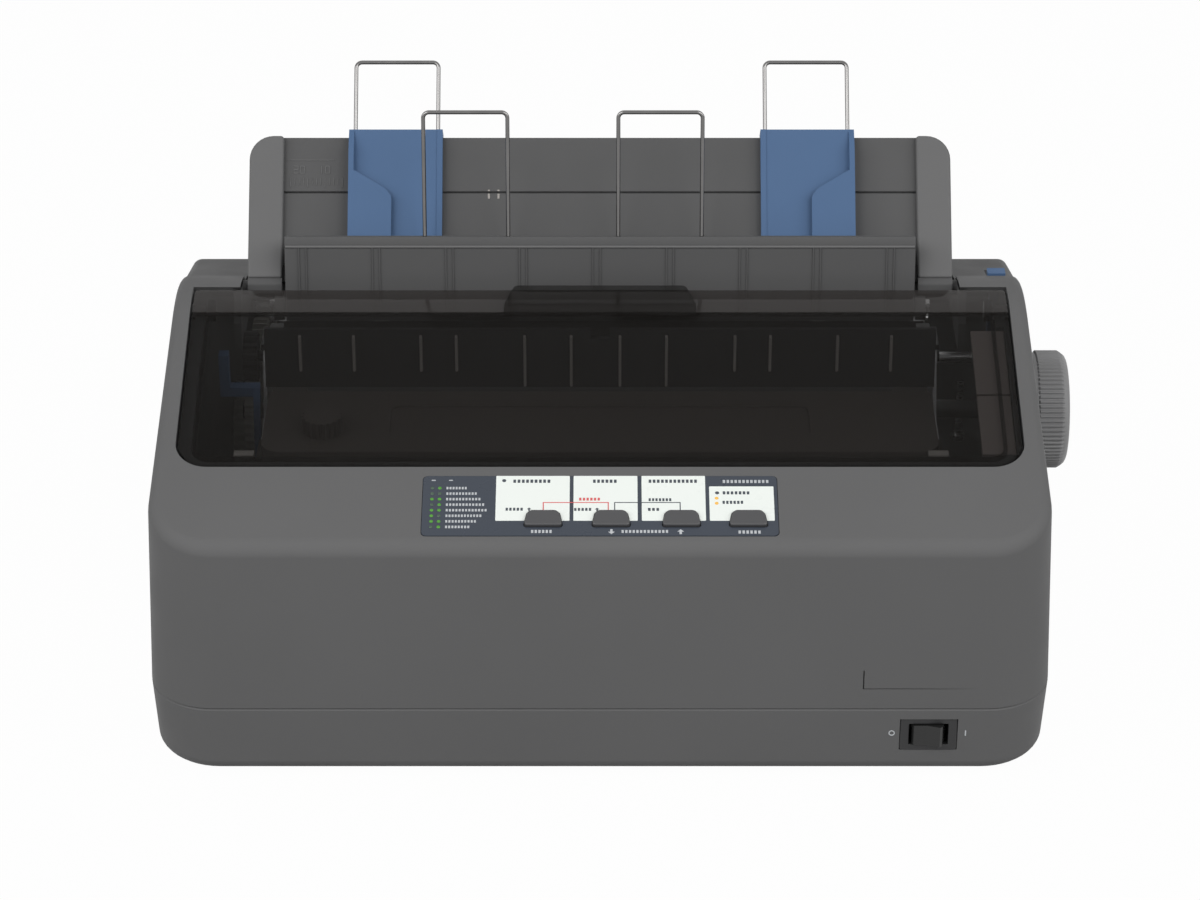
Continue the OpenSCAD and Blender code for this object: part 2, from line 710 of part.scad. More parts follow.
module tractor_shaft() {
  color("silver") at_case() difference() {
    union() {
      rod_x(tractor_axis, 4, -gear_x - gear_w - 1, -frame_half + 3);
      rod_x(tractor_axis, 4, frame_half - 3, frame_half + 5);
      block(about(0, frame_half - 2), about(tractor_axis[0], square / 2),
        about(tractor_axis[1], square / 2));
      difference() {
        gear(tractor_axis, tractor_teeth, tractor_turn, gear_x);
        rod_x(tractor_axis, 4 - eps, -gear_x - gear_w - 2, -gear_x + 2);
      }
    }
  }
}

module tractor_guide_shaft() {
  color("silver") at_case() rod_x(guide_axis, 3, -frame_half - sheet_t, frame_half + sheet_t);
}

cheek_t = 2.5;
gate_axis = [-tractor_w / 2 + 1.25, tractor_axis[1] + 10.2];
gate_pin_r = 1.2;
gate_y = [68.3, 95.7];

// Tractors are drawn for the left; the outer cheek carries the gate's hinge
module tractor() {
  color([0.15, 0.15, 0.15]) difference() {
    union() {
      for (x = [-tractor_w / 2, tractor_w / 2 - cheek_t]) along_x(x, x + cheek_t) polygon(rounded(
        [[64, 76], [100, 76], [108, 88], [106, 107], [60, 107], [56, 88]], [4, 4, 4, 4, 4, 4], 4));
      block(about(0, tractor_w / 2), [66, 98], [76, 79]);
      for (y = [gate_y[0] - 4.3, gate_y[1] + 0.3]) {
        along_y(y, y + 4) translate(gate_axis) circle(r = 2.2, $fn = 32);
        block(about(gate_axis[0], 1.25), [y, y + 4], [105, gate_axis[1]]);
      }
    }
    rod_x(tractor_axis, 5, -tractor_w, tractor_w);
    rod_x(guide_axis, 3 + run_fit, -tractor_w, tractor_w);
    along_y(gate_y[0] - 3.5, gate_y[1] + 3.5) translate(gate_axis)
      circle(r = gate_pin_r + run_fit, $fn = 32);
  }
}

module left_tractor() {
  at_case() translate([-tractor_x, 0, 0]) tractor();
}

module right_tractor() {
  at_case() translate([tractor_x, 0, 0]) mirror([1, 0, 0]) tractor();
}

module sprocket(x) {
  color("whitesmoke") at_case() translate([x, 0, 0]) difference() {
    union() {
      rod_x(tractor_axis, sprocket_r, -3, 3);
      rod_x(tractor_axis, sprocket_r - 3.4, -tractor_w / 2 + 3, tractor_w / 2 - 3);
      for (a = [0:45:315]) translate([0, tractor_axis[0], tractor_axis[1]]) rotate([a, 0, 0])
        translate([0, 0, sprocket_r - 1]) cylinder(r1 = 1.9, r2 = 1.1, h = 3, $fn = 16);
    }
    block(about(0, tractor_w), about(tractor_axis[0], square / 2 + 0.15),
      about(tractor_axis[1], square / 2 + 0.15));
  }
}

module left_sprocket() { sprocket(-tractor_x); }
module right_sprocket() { sprocket(tractor_x); }

module tractor_gate() {
  z = gate_axis[1];
  color([0.13, 0.13, 0.13]) {
    difference() {
      union() {
        block([gate_axis[0] + 0.6, tractor_w / 2], [gate_y[0] + 1.5, gate_y[1] - 1.5], [z + 1.3, z + 3.3]);
        block([gate_axis[0] - 1, gate_axis[0] + 2.4], gate_y, [z, z + 3.3]);
        along_y(gate_y[0], gate_y[1]) translate(gate_axis) circle(r = 1.9, $fn = 32);
      }
      block(about(0, 3), about(tractor_axis[0], 10), [z - 5, z + 6]);
    }
    along_y(gate_y[0] - 3.3, gate_y[1] + 3.3) translate(gate_axis) circle(r = gate_pin_r, $fn = 32);
  }
}

module left_tractor_gate() {
  at_case() translate([-tractor_x, 0, 0]) tractor_gate();
}

module right_tractor_gate() {
  at_case() translate([tractor_x, 0, 0]) mirror([1, 0, 0]) tractor_gate();
}

//---------------------------------------------------------------- carriage

belt_y = -44;
belt_r = 7;
belt_z = [57.5, 63.5];
pulley_x = 116;
rail_z = [50, 74];
rail_y = -64;

module carriage_shaft() {
  color("silver") at_case()
    rod_x(carriage_axis, carriage_shaft_r, -frame_half - sheet_t, frame_half + sheet_t);
}

module carriage_rail() {
  color("lightgray") at_case() difference() {
    union() {
      block([-frame_half, frame_half], [rail_y, -27], [rail_z[0], rail_z[0] + sheet_t]);
      block([-frame_half, frame_half], [rail_y, rail_y + sheet_t], [rail_z[0], rail_z[1]]);
    }
    for (s = [-1, 1]) translate([s * pulley_x, belt_y, rail_z[0] - 1])
      cylinder(r = s < 0 ? 6 : 2.5, h = 4, $fn = 32);
  }
}

module carriage() {
  color([0.12, 0.12, 0.13]) at_case() translate([-park_x, 0, 0]) difference() {
    union() {
      along_x(-carriage_w / 2, carriage_w / 2)
        polygon(rounded([[-34, 57], [-10, 57], [-10, 71.5], [-34, 71.5]], [3, 3, 3, 3], 3));
      block([-13, 13], [-68, -33], [66.5, 70.5]);
      block([-9, 9], [-68, -59], [66.5, 79]);
      block([-8, 8], [-41.5, -33], [56.5, 67]);
      for (s = [-1, 1]) block([s * 20 - 2, s * 20 + 2], [-32, -12], [70, 84]);
    }
    rod_x(carriage_axis, carriage_shaft_r + run_fit, -carriage_w, carriage_w);
    // Slot for the belt, and slot for the upstand of the rail
    block([-9, 9], about(belt_y + belt_r, 0.9), [belt_z[0] - 2, belt_z[1] + 0.4]);
    block([-14, 14], [rail_y - 0.3, rail_y + sheet_t + 0.3], [rail_z[0], rail_z[1] + 0.3]);
  }
}

head_nose_y = platen[0] - platen_r - 0.9;

module print_head() {
  color([0.2, 0.2, 0.21]) at_case() translate([-park_x, 0, 0]) difference() {
    union() {
      along_y(-30, -12) translate([0, 84]) polygon(rounded(box_outline(30, 24), [5, 5, 5, 5], 4));
      for (i = [0:5]) along_y(-37 + i * 2.6, -35.8 + i * 2.6) translate([0, 84])
        polygon(rounded(box_outline(35, 25), [5, 5, 5, 5], 4));
      along_y(-37, -29) translate([0, 84]) polygon(rounded(box_outline(20, 16), [3, 3, 3, 3], 3));
      along_x(-6, 6) polygon([
        [-13, 74], [-6, 77], [head_nose_y, 80], [head_nose_y, 88], [-6, 91], [-13, 94]]);
    }
    for (s = [-1, 1]) block([s * 20 - 2.02, s * 20 + 2.02], [-33, -11], [70, 85]);
  }
}

// Area inside a loop of the belt, r from the middle line, between two straights and two half rounds
module belt_loop(r, grow) {
  block(about(0, pulley_x), about(belt_y, r), [belt_z[0] - grow, belt_z[1] + grow]);
  for (s = [-1, 1]) translate([s * pulley_x, belt_y, belt_z[0] - grow])
    cylinder(r = r, h = belt_z[1] - belt_z[0] + 2 * grow, $fn = 48);
}

module timing_belt() {
  color([0.08, 0.08, 0.08]) at_case() difference() {
    belt_loop(belt_r + 0.6, 0);
    belt_loop(belt_r - 0.6, 1);
  }
}

module carriage_motor() {
  color("gray") at_case() difference() {
    union() {
      translate([-pulley_x, belt_y, rail_z[0] - 24]) cylinder(r = motor_r, h = 24, $fn = 48);
      translate([-pulley_x, belt_y, rail_z[0] - 1]) cylinder(r = 6, h = 1 + sheet_t, $fn = 48);
      translate([-pulley_x, belt_y, frame_z])
        cylinder(r = 5, h = rail_z[0] - 24 - frame_z + 1, $fn = 48);
      translate([pulley_x, belt_y, frame_z]) cylinder(r = 5, h = rail_z[0] - frame_z, $fn = 48);
    }
    translate([-pulley_x, belt_y, rail_z[0] - 18]) cylinder(r = 2 + run_fit, h = 30, $fn = 48);
    translate([pulley_x, belt_y, rail_z[0] - 12]) cylinder(r = 2 + run_fit, h = 30, $fn = 48);
  }
}

// Toothed pulley between two flanges on its own shaft, which reaches down to z0
module pulley(x, z0) {
  color("goldenrod") at_case() translate([x, belt_y, 0]) {
    translate([0, 0, belt_z[0] - 1.6]) cylinder(r = belt_r + 1, h = 1.2, $fn = 48);
    translate([0, 0, belt_z[0] - 0.5]) linear_extrude(belt_z[1] - belt_z[0] + 1)
      polygon(rib_ring(18, belt_r - 1.6, belt_r - 0.9));
    translate([0, 0, belt_z[1] + 0.4]) cylinder(r = belt_r + 1, h = 1.2, $fn = 48);
    translate([0, 0, z0]) cylinder(r = 2, h = belt_z[1] + 0.5 - z0, $fn = 48);
  }
}

module motor_pulley() { pulley(-pulley_x, rail_z[0] - 17); }
module idler_pulley() { pulley(pulley_x, rail_z[0] - 11); }

//---------------------------------------------------------------- ribbon

cartridge_z = [98, 112];
cartridge_y = [-67, -17];
cartridge_half = frame_half - 2;
arm_x = 122;
knob_at = [-112, -50];

module ribbon_cartridge() {
  color([0.09, 0.09, 0.09]) at_case() {
    difference() {
      union() {
        translate([0, (cartridge_y[0] + cartridge_y[1]) / 2, cartridge_z[0]])
          linear_extrude(cartridge_z[1] - cartridge_z[0]) polygon(rounded(
            box_outline(2 * cartridge_half, cartridge_y[1] - cartridge_y[0]), [8, 8, 2, 2], 5));
        mirrored() block([arm_x, cartridge_half], [-18, head_nose_y - 1.5], [78, 104]);
        mirrored() block([arm_x, cartridge_half], [-30, -14], [88, 100]);
        // Seats on the side plates
        mirrored() block([cartridge_half - 4, frame_half + sheet_t], [-50, -34], [94.2, 99]);
      }
      translate([0, 0, cartridge_z[1] - 1]) linear_extrude(2) translate([0, -42])
        polygon(rounded(box_outline(170, 26), [4, 4, 4, 4], 4));
      translate([knob_at[0], knob_at[1], cartridge_z[0] - 5])
        cylinder(r = 2.5 + run_fit, h = 30, $fn = 48);
      mirrored() block([arm_x + 3, cartridge_half - 3], [-19, head_nose_y], [80, 92]);
    }
    // Inked ribbon between the arms
    difference() {
      block(about(0, arm_x + 2), [head_nose_y - 2.2, head_nose_y + 0.6], [80, 90]);
      block(about(0, arm_x + 1.7), [head_nose_y - 3, head_nose_y + 0.3], [79, 91]);
    }
  }
}

module ribbon_knob() {
  color([0.16, 0.16, 0.17]) at_case() translate([knob_at[0], knob_at[1], 0]) {
    translate([0, 0, cartridge_z[1] + 0.4]) linear_extrude(7) polygon(rib_ring(18, 7.4, 8.2));
    translate([0, 0, cartridge_z[0] - 4]) cylinder(r = 2.5, h = 20, $fn = 48);
  }
}

//---------------------------------------------------------------- paper path

rib_xs = [10, 29, 56, 71, 98.5, 120, 134];
eject_r = 6;

// Trough round the underside of the platen, which rises behind it towards the tractors
module paper_guide() {
  r0 = platen_r + 1.6;
  r1 = r0 + 1.5;
  arc = [-150, -20];
  function ring(r, a, b) = [for (j = [0:12]) platen + r * heading(a + (b - a) * j / 12)];
  color([0.17, 0.17, 0.17]) at_case() {
    along_x(-frame_half, frame_half) polygon(concat(ring(r1, arc[0], arc[1]), [[51.5, 108], [50, 109]],
      ring(r0, arc[1], arc[0])));
    for (x = [-120:20:120]) along_x(x - 0.6, x + 0.6) polygon([platen + r1 * heading(-70),
      platen + r1 * heading(-45) + [6, -6], platen + r1 * heading(-20)]);
  }
}

module eject_cover() {
  color([0.2, 0.19, 0.18]) at_case() {
    difference() {
      along_x(-frame_half + 0.5, frame_half - 0.5)
        polygon([[-14, cartridge_z[1] + 0.3], [-12, cartridge_z[1] + 0.3], [-10, 138], [-12, 138]]);
      block([-4, 4], [-20, 0], [134, 139]);
    }
    for (s = [-1, 1], x = rib_xs)
      block([s * x - 0.7, s * x + 0.7], [-15, -12.6], [x == 29 || x == 71 ? 120 : 113, 136]);
    // Arms to the seats on the side plates
    mirrored() block([frame_half - 6, frame_half - 0.5], [-13, 20], [rest_z, rest_z + 4]);
    mirrored() block([frame_half - 6, frame_half + sheet_t + 1], [4, 20], [rest_z, rest_z + 2.4]);
  }
}

module eject_roller() {
  color([0.15, 0.15, 0.15]) at_case() {
    rod_x(eject_axis, 2.5, -gear_x - 1, frame_half + sheet_t + 2);
    gear(eject_axis, eject_teeth, eject_turn, gear_x);
    for (x = [-100, -54, -15, 24, 62, 100]) difference() {
      rod_x(eject_axis, eject_r, x - 4, x + 4);
      rod_x(eject_axis, 2.5 - eps, x - 5, x + 5);
    }
  }
}

lever_x = 165;
lever_axis = [34, 100];

module paper_release_lever() {
  color("steelblue") at_case() difference() {
    union() {
      rod_x(lever_axis, 5, lever_x - 2, lever_x + 2);
      along_x(lever_x - 1.8, lever_x + 1.8)
        polygon([lever_axis + [-3, 2], lever_axis + [3, 2], [33, 141.5], [29, 141.5]]);
      block(about(lever_x + 0.5, 3.7), [28.4, 33.4], [140.8, 143]);
    }
    rod_x(lever_axis, 2.5 + run_fit, lever_x - 5, lever_x + 5);
  }
}

module paper_thickness_lever() {
  at = carriage_axis + [0, 14];
  color("steelblue") at_case() difference() {
    union() {
      rod_x(at, 4, -frame_half - sheet_t - 3, -frame_half - sheet_t - 0.3);
      along_x(-frame_half - sheet_t - 3, -frame_half - sheet_t - 0.3)
        polygon([at + [-3, 1], at + [3, 1], [-13, 114], [-18, 114]]);
      block([-154, -frame_half - sheet_t - 0.3], [-18, -13], [110, 114]);
      block([-156, -152], [-18, -13], [110, 129]);
    }
    rod_x(at, 1.5 + run_fit, -170, -130);
  }
}

//---------------------------------------------------------------- cover and guides

module printer_cover() {
  color([0.12, 0.1, 0.09]) at_case() {
    intersection() {
      top_sheet(0, lid_t);
      linear_extrude(crest[1] + 9) polygon(lid_plan(0));
    }
    // Rim under the front and the sides
    intersection() {
      top_sheet(lid_t - 0.4, lid_t + 1.6);
      linear_extrude(crest[1] + 9) difference() {
        polygon(lid_plan(-lid_seat - 0.5));
        polygon(lid_plan(-lid_seat - 2));
        translate([-lid_half_w, lid_pivot[0] - 16]) square([2 * lid_half_w, 60]);
      }
    }
    // Finger grip over the crest
    intersection() {
      top_sheet(-grip_h, lid_t / 2);
      linear_extrude(crest[1] + 20) polygon([
        [-grip_half_w - 5, lid_back_y - grip_len], [grip_half_w + 5, lid_back_y - grip_len],
        [grip_half_w, lid_back_y - 1], [-grip_half_w, lid_back_y - 1]]);
      along_x(-half_w, half_w) polygon([
        [lid_back_y - grip_len, crest[1] - 12], [lid_back_y, crest[1] - 12],
        [lid_back_y, crest[1] + 9], [lid_back_y - 5, crest[1] + 9],
        [lid_back_y - grip_len, crest[1] - 5]]);
    }
    // Hinge arms with their pins
    mirrored() {
      block([lid_half_w - lid_seat - 4, lid_half_w - lid_seat - 0.4], about(lid_pivot[0], 3),
        [lid_pivot[1] - 3, crest[1] - 4.6]);
      rod_x(lid_pivot, lid_pin_r, lid_half_w - lid_seat - 3, lid_half_w);
    }
  }
}

guide_t = 4;
flap_ear_r = 2.4;
flap_pin_r = 1.2;

module sheet_guide() {
  color([0.3, 0.3, 0.3]) at_case() {
    on_guide() difference() {
      union() {
        along_y(0, guide_t) translate([0, guide_len / 2 + 1])
          polygon(rounded(box_outline(2 * guide_half_w - 2, guide_len - 2), [1, 1, 10, 10], 5));
        mirrored() along_y(-3, guide_t) translate([guide_half_w - column_w / 2, guide_len / 2 - 2])
          polygon(rounded(box_outline(column_w, guide_len + 4), [1, 1, 10, 2], 5));
      }
      // Groove that the edge guides' tongues run in
      block([-guide_half_w + column_w, guide_half_w - column_w], [-1, 1.6], about(guide_slot_z, 0.6));
    }
    // Feet of the columns with the pivot pins
    mirrored() {
      rod_x(guide_pivot, 5.5, guide_half_w - 8, guide_half_w);
      rod_x(guide_pivot, 3, guide_half_w - 1, bay_half + 2);
      along_x(guide_half_w - 8, guide_half_w) polygon([guide_pivot + [-4, 2], guide_pivot + [5, -2],
        guide_base + [6, 3], guide_base + [-1, 5]]);
      // Ears that carry the flap
      difference() {
        union() {
          rod_x(flap_pivot, flap_ear_r, flap_half_w + 0.5, flap_half_w + 5);
          along_x(flap_half_w + 0.5, flap_half_w + 5) polygon([
            flap_pivot + [-1.4, 1.6], flap_pivot + [1.6, -1.6],
            guide_pivot + [3, -3], guide_pivot + [3, 4]]);
          rod_x(guide_pivot, 5, flap_half_w + 0.5, guide_half_w - 7);
        }
        rod_x(flap_pivot, flap_pin_r + run_fit, flap_half_w, flap_half_w + 4);
      }
    }
  }
}

clip_y = 2.1;
rib_pitch = 30.3;
rib_middle = -1.45;

module sheet_guide_cover() {
  color([0.33, 0.33, 0.33]) at_case() {
    on_flap() {
      difference() {
        union() {
          // Plate with a lip along the top that leans back
          along_x(-flap_half_w, flap_half_w) polygon([[-1, 0], [1, 0], [1, flap_len - 0.3],
            [4.3, flap_len + 3], [2, flap_len + 3], [-1, flap_len]]);
          for (i = [-4:4], s = [-1, 1])
            block(about(rib_middle + i * rib_pitch + s * 1.5, 0.4), [-1.5, -0.9], [1, flap_len - 0.5]);
          // Clips that hold the wires
          for (x = [front_wire_x1, front_wire_x2], s = [-1, 1])
            block(about(x + s * wire_w / 2, 2), [0.8, 3.8], [4, 16]);
        }
        for (x = [front_wire_x1, front_wire_x2], s = [-1, 1])
          translate([x + s * wire_w / 2, clip_y, -5]) cylinder(r = wire_r + 0.1, h = 60, $fn = 24);
      }
      rod_x([0, 0], flap_pin_r, -flap_half_w - 3.5, flap_half_w + 3.5);
    }
  }
}

edge_plate_d = 3.2;
rear_wire_x = edge_guide_x - 19.85;
rear_wire_y = -1.75;

// Frame of the left or the right edge guide, which both stand a little to the right
module at_guide_side(s) {
  at_case() translate([0.65, 0, 0]) mirror([s < 0 ? 1 : 0, 0, 0]) on_guide() children();
}

// Edge guide that runs across the sheet guide, with its wall on the outer side
module edge_guide(s) {
  out = edge_guide_x;
  in = edge_guide_x - edge_guide_w;
  top = guide_len + 2.7;
  color("steelblue") at_guide_side(s) difference() {
    union() {
      block([in, out], [-edge_plate_d, -0.3], [3, top]);
      along_x(out - 2.2, out) polygon([[-0.4, 6], [-edge_wall_d, 6], [-edge_wall_d, top - 9],
        [-edge_plate_d, top], [-0.4, top]]);
      along_y(-edge_wall_d, -edge_wall_d + 1.6) polygon([[out, 6], [out, 41.6], [out - 2.2, 41.2],
        [out - 15.5, 33.2], [out - 18, 30], [out - 18, 6]]);
      // Hook over the top edge of the sheet guide
      block([in, out], [-edge_plate_d, guide_t + 2.2], [guide_len + 0.3, top]);
      block([in + 6, out - 6], [guide_t + 0.3, guide_t + 2.2], [guide_len - 6, top]);
      // Tongue in the groove
      block([in + 8, out - 8], [-0.4, 1.3], about(guide_slot_z, 0.35));
    }
    for (s = [-1, 1]) translate([rear_wire_x + s * wire_w / 2, rear_wire_y, 4])
      cylinder(r = wire_r + 0.1, h = top, $fn = 24);
  }
}

module left_edge_guide() { edge_guide(-1); }
module right_edge_guide() { edge_guide(1); }

// Round wire bent to a loop: two legs from z0 to z1, w apart, with bent corners
wire_bend = 2.4;
wire_sides = 10;
wire_arc = 5;

function loop_path(w, z0, z1) = concat([[-w / 2, z0]],
  [for (j = [0:wire_arc]) let (a = 180 - 90 * j / wire_arc)
    [-w / 2 + wire_bend + wire_bend * cos(a), z1 - wire_bend + wire_bend * sin(a)]],
  [for (j = [0:wire_arc]) let (a = 90 - 90 * j / wire_arc)
    [w / 2 - wire_bend + wire_bend * cos(a), z1 - wire_bend + wire_bend * sin(a)]],
  [[w / 2, z0]]);

module wire_loop(w, z0, z1) {
  path = loop_path(w, z0, z1);
  n = len(path);
  along = [for (i = [0:n - 1]) unit(path[min(i + 1, n - 1)] - path[max(i - 1, 0)])];
  rings = [for (i = [0:n - 1], k = [0:wire_sides - 1])
    let (out = wire_r * cos(360 * k / wire_sides), across = wire_r * sin(360 * k / wire_sides))
    [path[i][0] - along[i][1] * out, across, path[i][1] + along[i][0] * out]];
  sides = [for (i = [0:n - 2], k = [0:wire_sides - 1])
    let (m = (k + 1) % wire_sides, b = i * wire_sides, t = b + wire_sides)
    each [[b + k, b + m, t + m], [b + k, t + m, t + k]]];
  first_end = [for (k = [wire_sides - 1:-1:0]) k];
  last_end = [for (k = [0:wire_sides - 1]) (n - 1) * wire_sides + k];
  polyhedron(rings, concat(sides, [first_end], [last_end]));
}

module rear_wire(s) {
  color("silver") at_guide_side(s) translate([rear_wire_x, rear_wire_y, 0])
    wire_loop(wire_w, 32, rear_wire_top);
}

module left_rear_wire() { rear_wire(-1); }
module right_rear_wire() { rear_wire(1); }

module front_wire(x) {
  color("silver") at_case() on_flap() translate([x, clip_y, 0])
    wire_loop(wire_w, 0, front_wire_len);
}

module left_front_wire() { front_wire(front_wire_x1); }
module right_front_wire() { front_wire(front_wire_x2); }

//---------------------------------------------------------------- control panel

button_xs = [-22, 4.3, 31.5, 57.4];
button_y = panel_start + 8.8;
lamp_x = -62;
// Posts of the panel's board, clear of the lights and of the buttons' flanges
function board_posts() = [
  for (y = [panel_start + 5, panel_start + panel_len - 6]) [lamp_x + 10, y],
  [(button_xs[2] + button_xs[3]) / 2, panel_start + 5],
  [panel_w / 2 - 6, panel_start + panel_len - 6]];

// Trapezoid plan of a button, widened by d
module button_shape(d, h) {
  linear_extrude(h) polygon(rounded([
    [-button_w / 2 - d, -button_len / 2 - d], [button_w / 2 + d, -button_len / 2 - d],
    [button_w / 2 - 1.5 + d, button_len / 2 + d], [-button_w / 2 + 1.5 - d, button_len / 2 + d]],
    [1.5, 1.5, 2, 2], 4));
}

module panel_overlay() {
  color([0.2, 0.24, 0.29]) at_case() on_slope() difference() {
    translate([0, panel_start + panel_len / 2, -panel_t]) linear_extrude(panel_t + 0.2)
      polygon(rounded(box_outline(panel_w, panel_len), [2, 2, 2, 2], 4));
    for (x = button_xs) translate([x, button_y, -2]) button_shape(0.3, 5);
    for (p = lamp_spots()) translate([p[0], p[1], -2]) cylinder(r = lamp_r + 0.1, h = 5, $fn = 24);
  }
}

lamp_r = 0.7;
function lamp_spots() = [for (i = [0:7], x = [-1.9, 1.9]) [lamp_x + x, panel_start + 5.4 + i * 3]];
board_z = -board_drop - board_t;

module panel_board() {
  color("darkgreen") at_case() on_slope() difference() {
    block([-panel_w / 2 + 1, panel_w / 2 - 1], [panel_start + 1, panel_start + panel_len - 1],
      [board_z, -board_drop]);
    for (p = board_posts()) translate([p[0], p[1], board_z - 1]) cylinder(r = 1.6, h = 4, $fn = 24);
  }
  // Tact switches, each under its button
  color([0.1, 0.1, 0.1]) at_case() on_slope() for (x = button_xs) {
    translate([x - 3, button_y - 3, -board_drop]) cube([6, 6, 3.5]);
    translate([x, button_y, -board_drop + 3]) cylinder(r = 1.7, h = 1.3, $fn = 32);
  }
}

module indicator_lights() {
  color("yellowgreen") at_case() on_slope()
    for (p = lamp_spots()) translate([p[0], p[1], -board_drop]) {
      cylinder(r = lamp_r, h = board_drop + 0.1, $fn = 24);
      translate([-1, -1, 0]) cube([2, 2, 3]);
    }
}

plunger_top = -board_drop + 4.3;

module button(x) {
  color([0.25, 0.25, 0.26]) at_case() on_slope() translate([x, button_y, 0]) {
    translate([0, 0, -wall - skin_gap - 0.4]) button_shape(0, button_h + wall + skin_gap + 0.4);
    // Flange that keeps the button in, and the stem over its switch
    translate([0, 0, -wall - skin_gap - 1.4]) button_shape(1.6, 1.4);
    translate([0, 0, plunger_top + button_travel + 0.1])
      cylinder(r = 1.5, h = -wall - skin_gap - 1 - plunger_top - button_travel, $fn = 32);
  }
}

module font_button() { button(button_xs[0]); }
module feed_button() { button(button_xs[1]); }
module load_button() { button(button_xs[2]); }
module pause_button() { button(button_xs[3]); }

//---------------------------------------------------------------- power switch

switch_d = 19;

module power_switch_body() {
  color([0.05, 0.05, 0.05]) at_case() translate([switch_x, 0, switch_z]) difference() {
    union() {
      along_y(switch_y - 1.6, switch_y) polygon(rounded(box_outline(bezel_w, bezel_h), [1, 1, 1, 1], 3));
      along_y(switch_y - 0.5, switch_y + switch_d) polygon(box_outline(bezel_w - 2.6, bezel_h - 2.6));
      for (x = [-6, 0, 6])
        block(about(x, 0.4), [switch_y + switch_d - 1, switch_y + switch_d + 7], [-2.4, 2.4]);
    }
    block(about(0, rocker_w / 2 + 0.3), [switch_y - 3, switch_y + 9], about(0, rocker_h / 2 + 0.3));
    translate([0, rocker_y, -rocker_h / 2 - 1.2])
      cylinder(r = 1 + run_fit, h = rocker_h + 2.4, $fn = 24);
  }
}

rocker_w = 15;
rocker_tilt = 8;
rocker_h = bezel_h - 5.4;
rocker_y = switch_y + 2;

// Rocker, drawn with its left side pressed in
module power_switch_rocker() {
  color([0.07, 0.07, 0.07]) at_case()
    translate([switch_x, rocker_y, switch_z]) rotate([0, 0, -rocker_tilt]) {
      intersection() {
        for (s = [-1, 1]) mirror([s < 0 ? 1 : 0, 0, 0]) rotate([0, 0, -rocker_tilt - 1])
          block([-0.5, rocker_w / 2 - 0.8], [-4.4, 1.5], about(0, rocker_h / 2));
        translate([0, 0, -rocker_h]) cylinder(r = rocker_w / 2 - 0.1, h = 2 * rocker_h, $fn = 64);
      }
      translate([0, 0, -rocker_h / 2 - 1]) cylinder(r = 1, h = rocker_h + 2, $fn = 24);
    }
}

//---------------------------------------------------------------- electronics

module circuit_boards() {
  z = frame_z + 4;
  color("darkgreen") at_case() {
    block([-30, 128], [34, back_y - 8], [z, z + board_t]);
    block([-134, -50], [34, 112], [z, z + board_t]);
    for (p = [[-26, 40], [124, 40], [-26, 112], [124, 112],
        [-130, 38], [-54, 38], [-130, 104], [-54, 104]])
      translate([p[0], p[1], frame_z]) cylinder(r = 3, h = 4, $fn = 32);
    block([10, 34], [60, 84], [z, z + 4]);
    block([50, 66], [58, 80], [z, z + 3.6]);
    block([80, 104], [56, 66], [z, z + 4]);
    block([80, 104], [74, 84], [z, z + 4]);
    for (i = [0:3]) translate([-20 + i * 8, 104, z]) cylinder(r = 3.2, h = 13, $fn = 32);
    block([-96, -66], [76, 106], [z, z + 26]);
    translate([-118, 92, z]) cylinder(r = 9, h = 22, $fn = 48);
    for (i = [0:3]) block([-84, -58], [44 + i * 5, 46 + i * 5], [z, z + 24]);
    block([-84, -58], [44, 61], [z, z + 3]);
  }
}

module rear_connectors() {
  z = socket_z;
  color([0.1, 0.1, 0.1]) at_case() {
    // Mains inlet with its three blades
    translate([rear_sockets[0][0], 0, z]) {
      difference() {
        block([-14, 14], [back_y - 24, back_y - 0.5], [0, rear_sockets[0][2]]);
        block([-12, 12], [back_y - 16, back_y + 1], [2.2, 18]);
      }
      for (p = [[-7, 6], [0, 10], [7, 6]])
        block(about(p[0], 1), [back_y - 17, back_y - 4], [p[1], p[1] + 4]);
    }
    // Square peripheral socket
    translate([rear_sockets[1][0], 0, z]) difference() {
      block([-7, 7], [back_y - 18, back_y - 0.5], [0, rear_sockets[1][2]]);
      block([-4.3, 4.3], [back_y - 10, back_y + 1], [2, 10]);
    }
    // Wide ribbon-contact socket with its blade
    translate([rear_sockets[2][0], 0, z]) {
      difference() {
        block([-28, 28], [back_y - 16, back_y - 0.5], [0, rear_sockets[2][2]]);
        block([-24, 24], [back_y - 9, back_y + 1], [2.6, 11.4]);
      }
      block([-21, 21], [back_y - 10, back_y - 2], [5.6, 8.4]);
    }
    // Nine-pin socket
    translate([rear_sockets[3][0], 0, z]) {
      difference() {
        block([-15.5, 15.5], [back_y - 14, back_y - 0.5], [0, rear_sockets[3][2]]);
        along_y(back_y - 8, back_y + 1) polygon([[-7.4, 2.4], [7.4, 2.4], [8.6, 10.4], [-8.6, 10.4]]);
        mirrored() translate([12.4, back_y, 6.4]) rotate([90, 0, 0]) cylinder(r = 1.5, h = 10, $fn = 24);
      }
      for (p = concat([for (i = [-2:2]) [i, 7.8]], [for (i = [-1.5:1.5]) [i, 5]]))
        along_y(back_y - 9, back_y - 2) translate([p[0] * 2.8, p[1]]) circle(r = 0.5, $fn = 16);
    }
  }
}

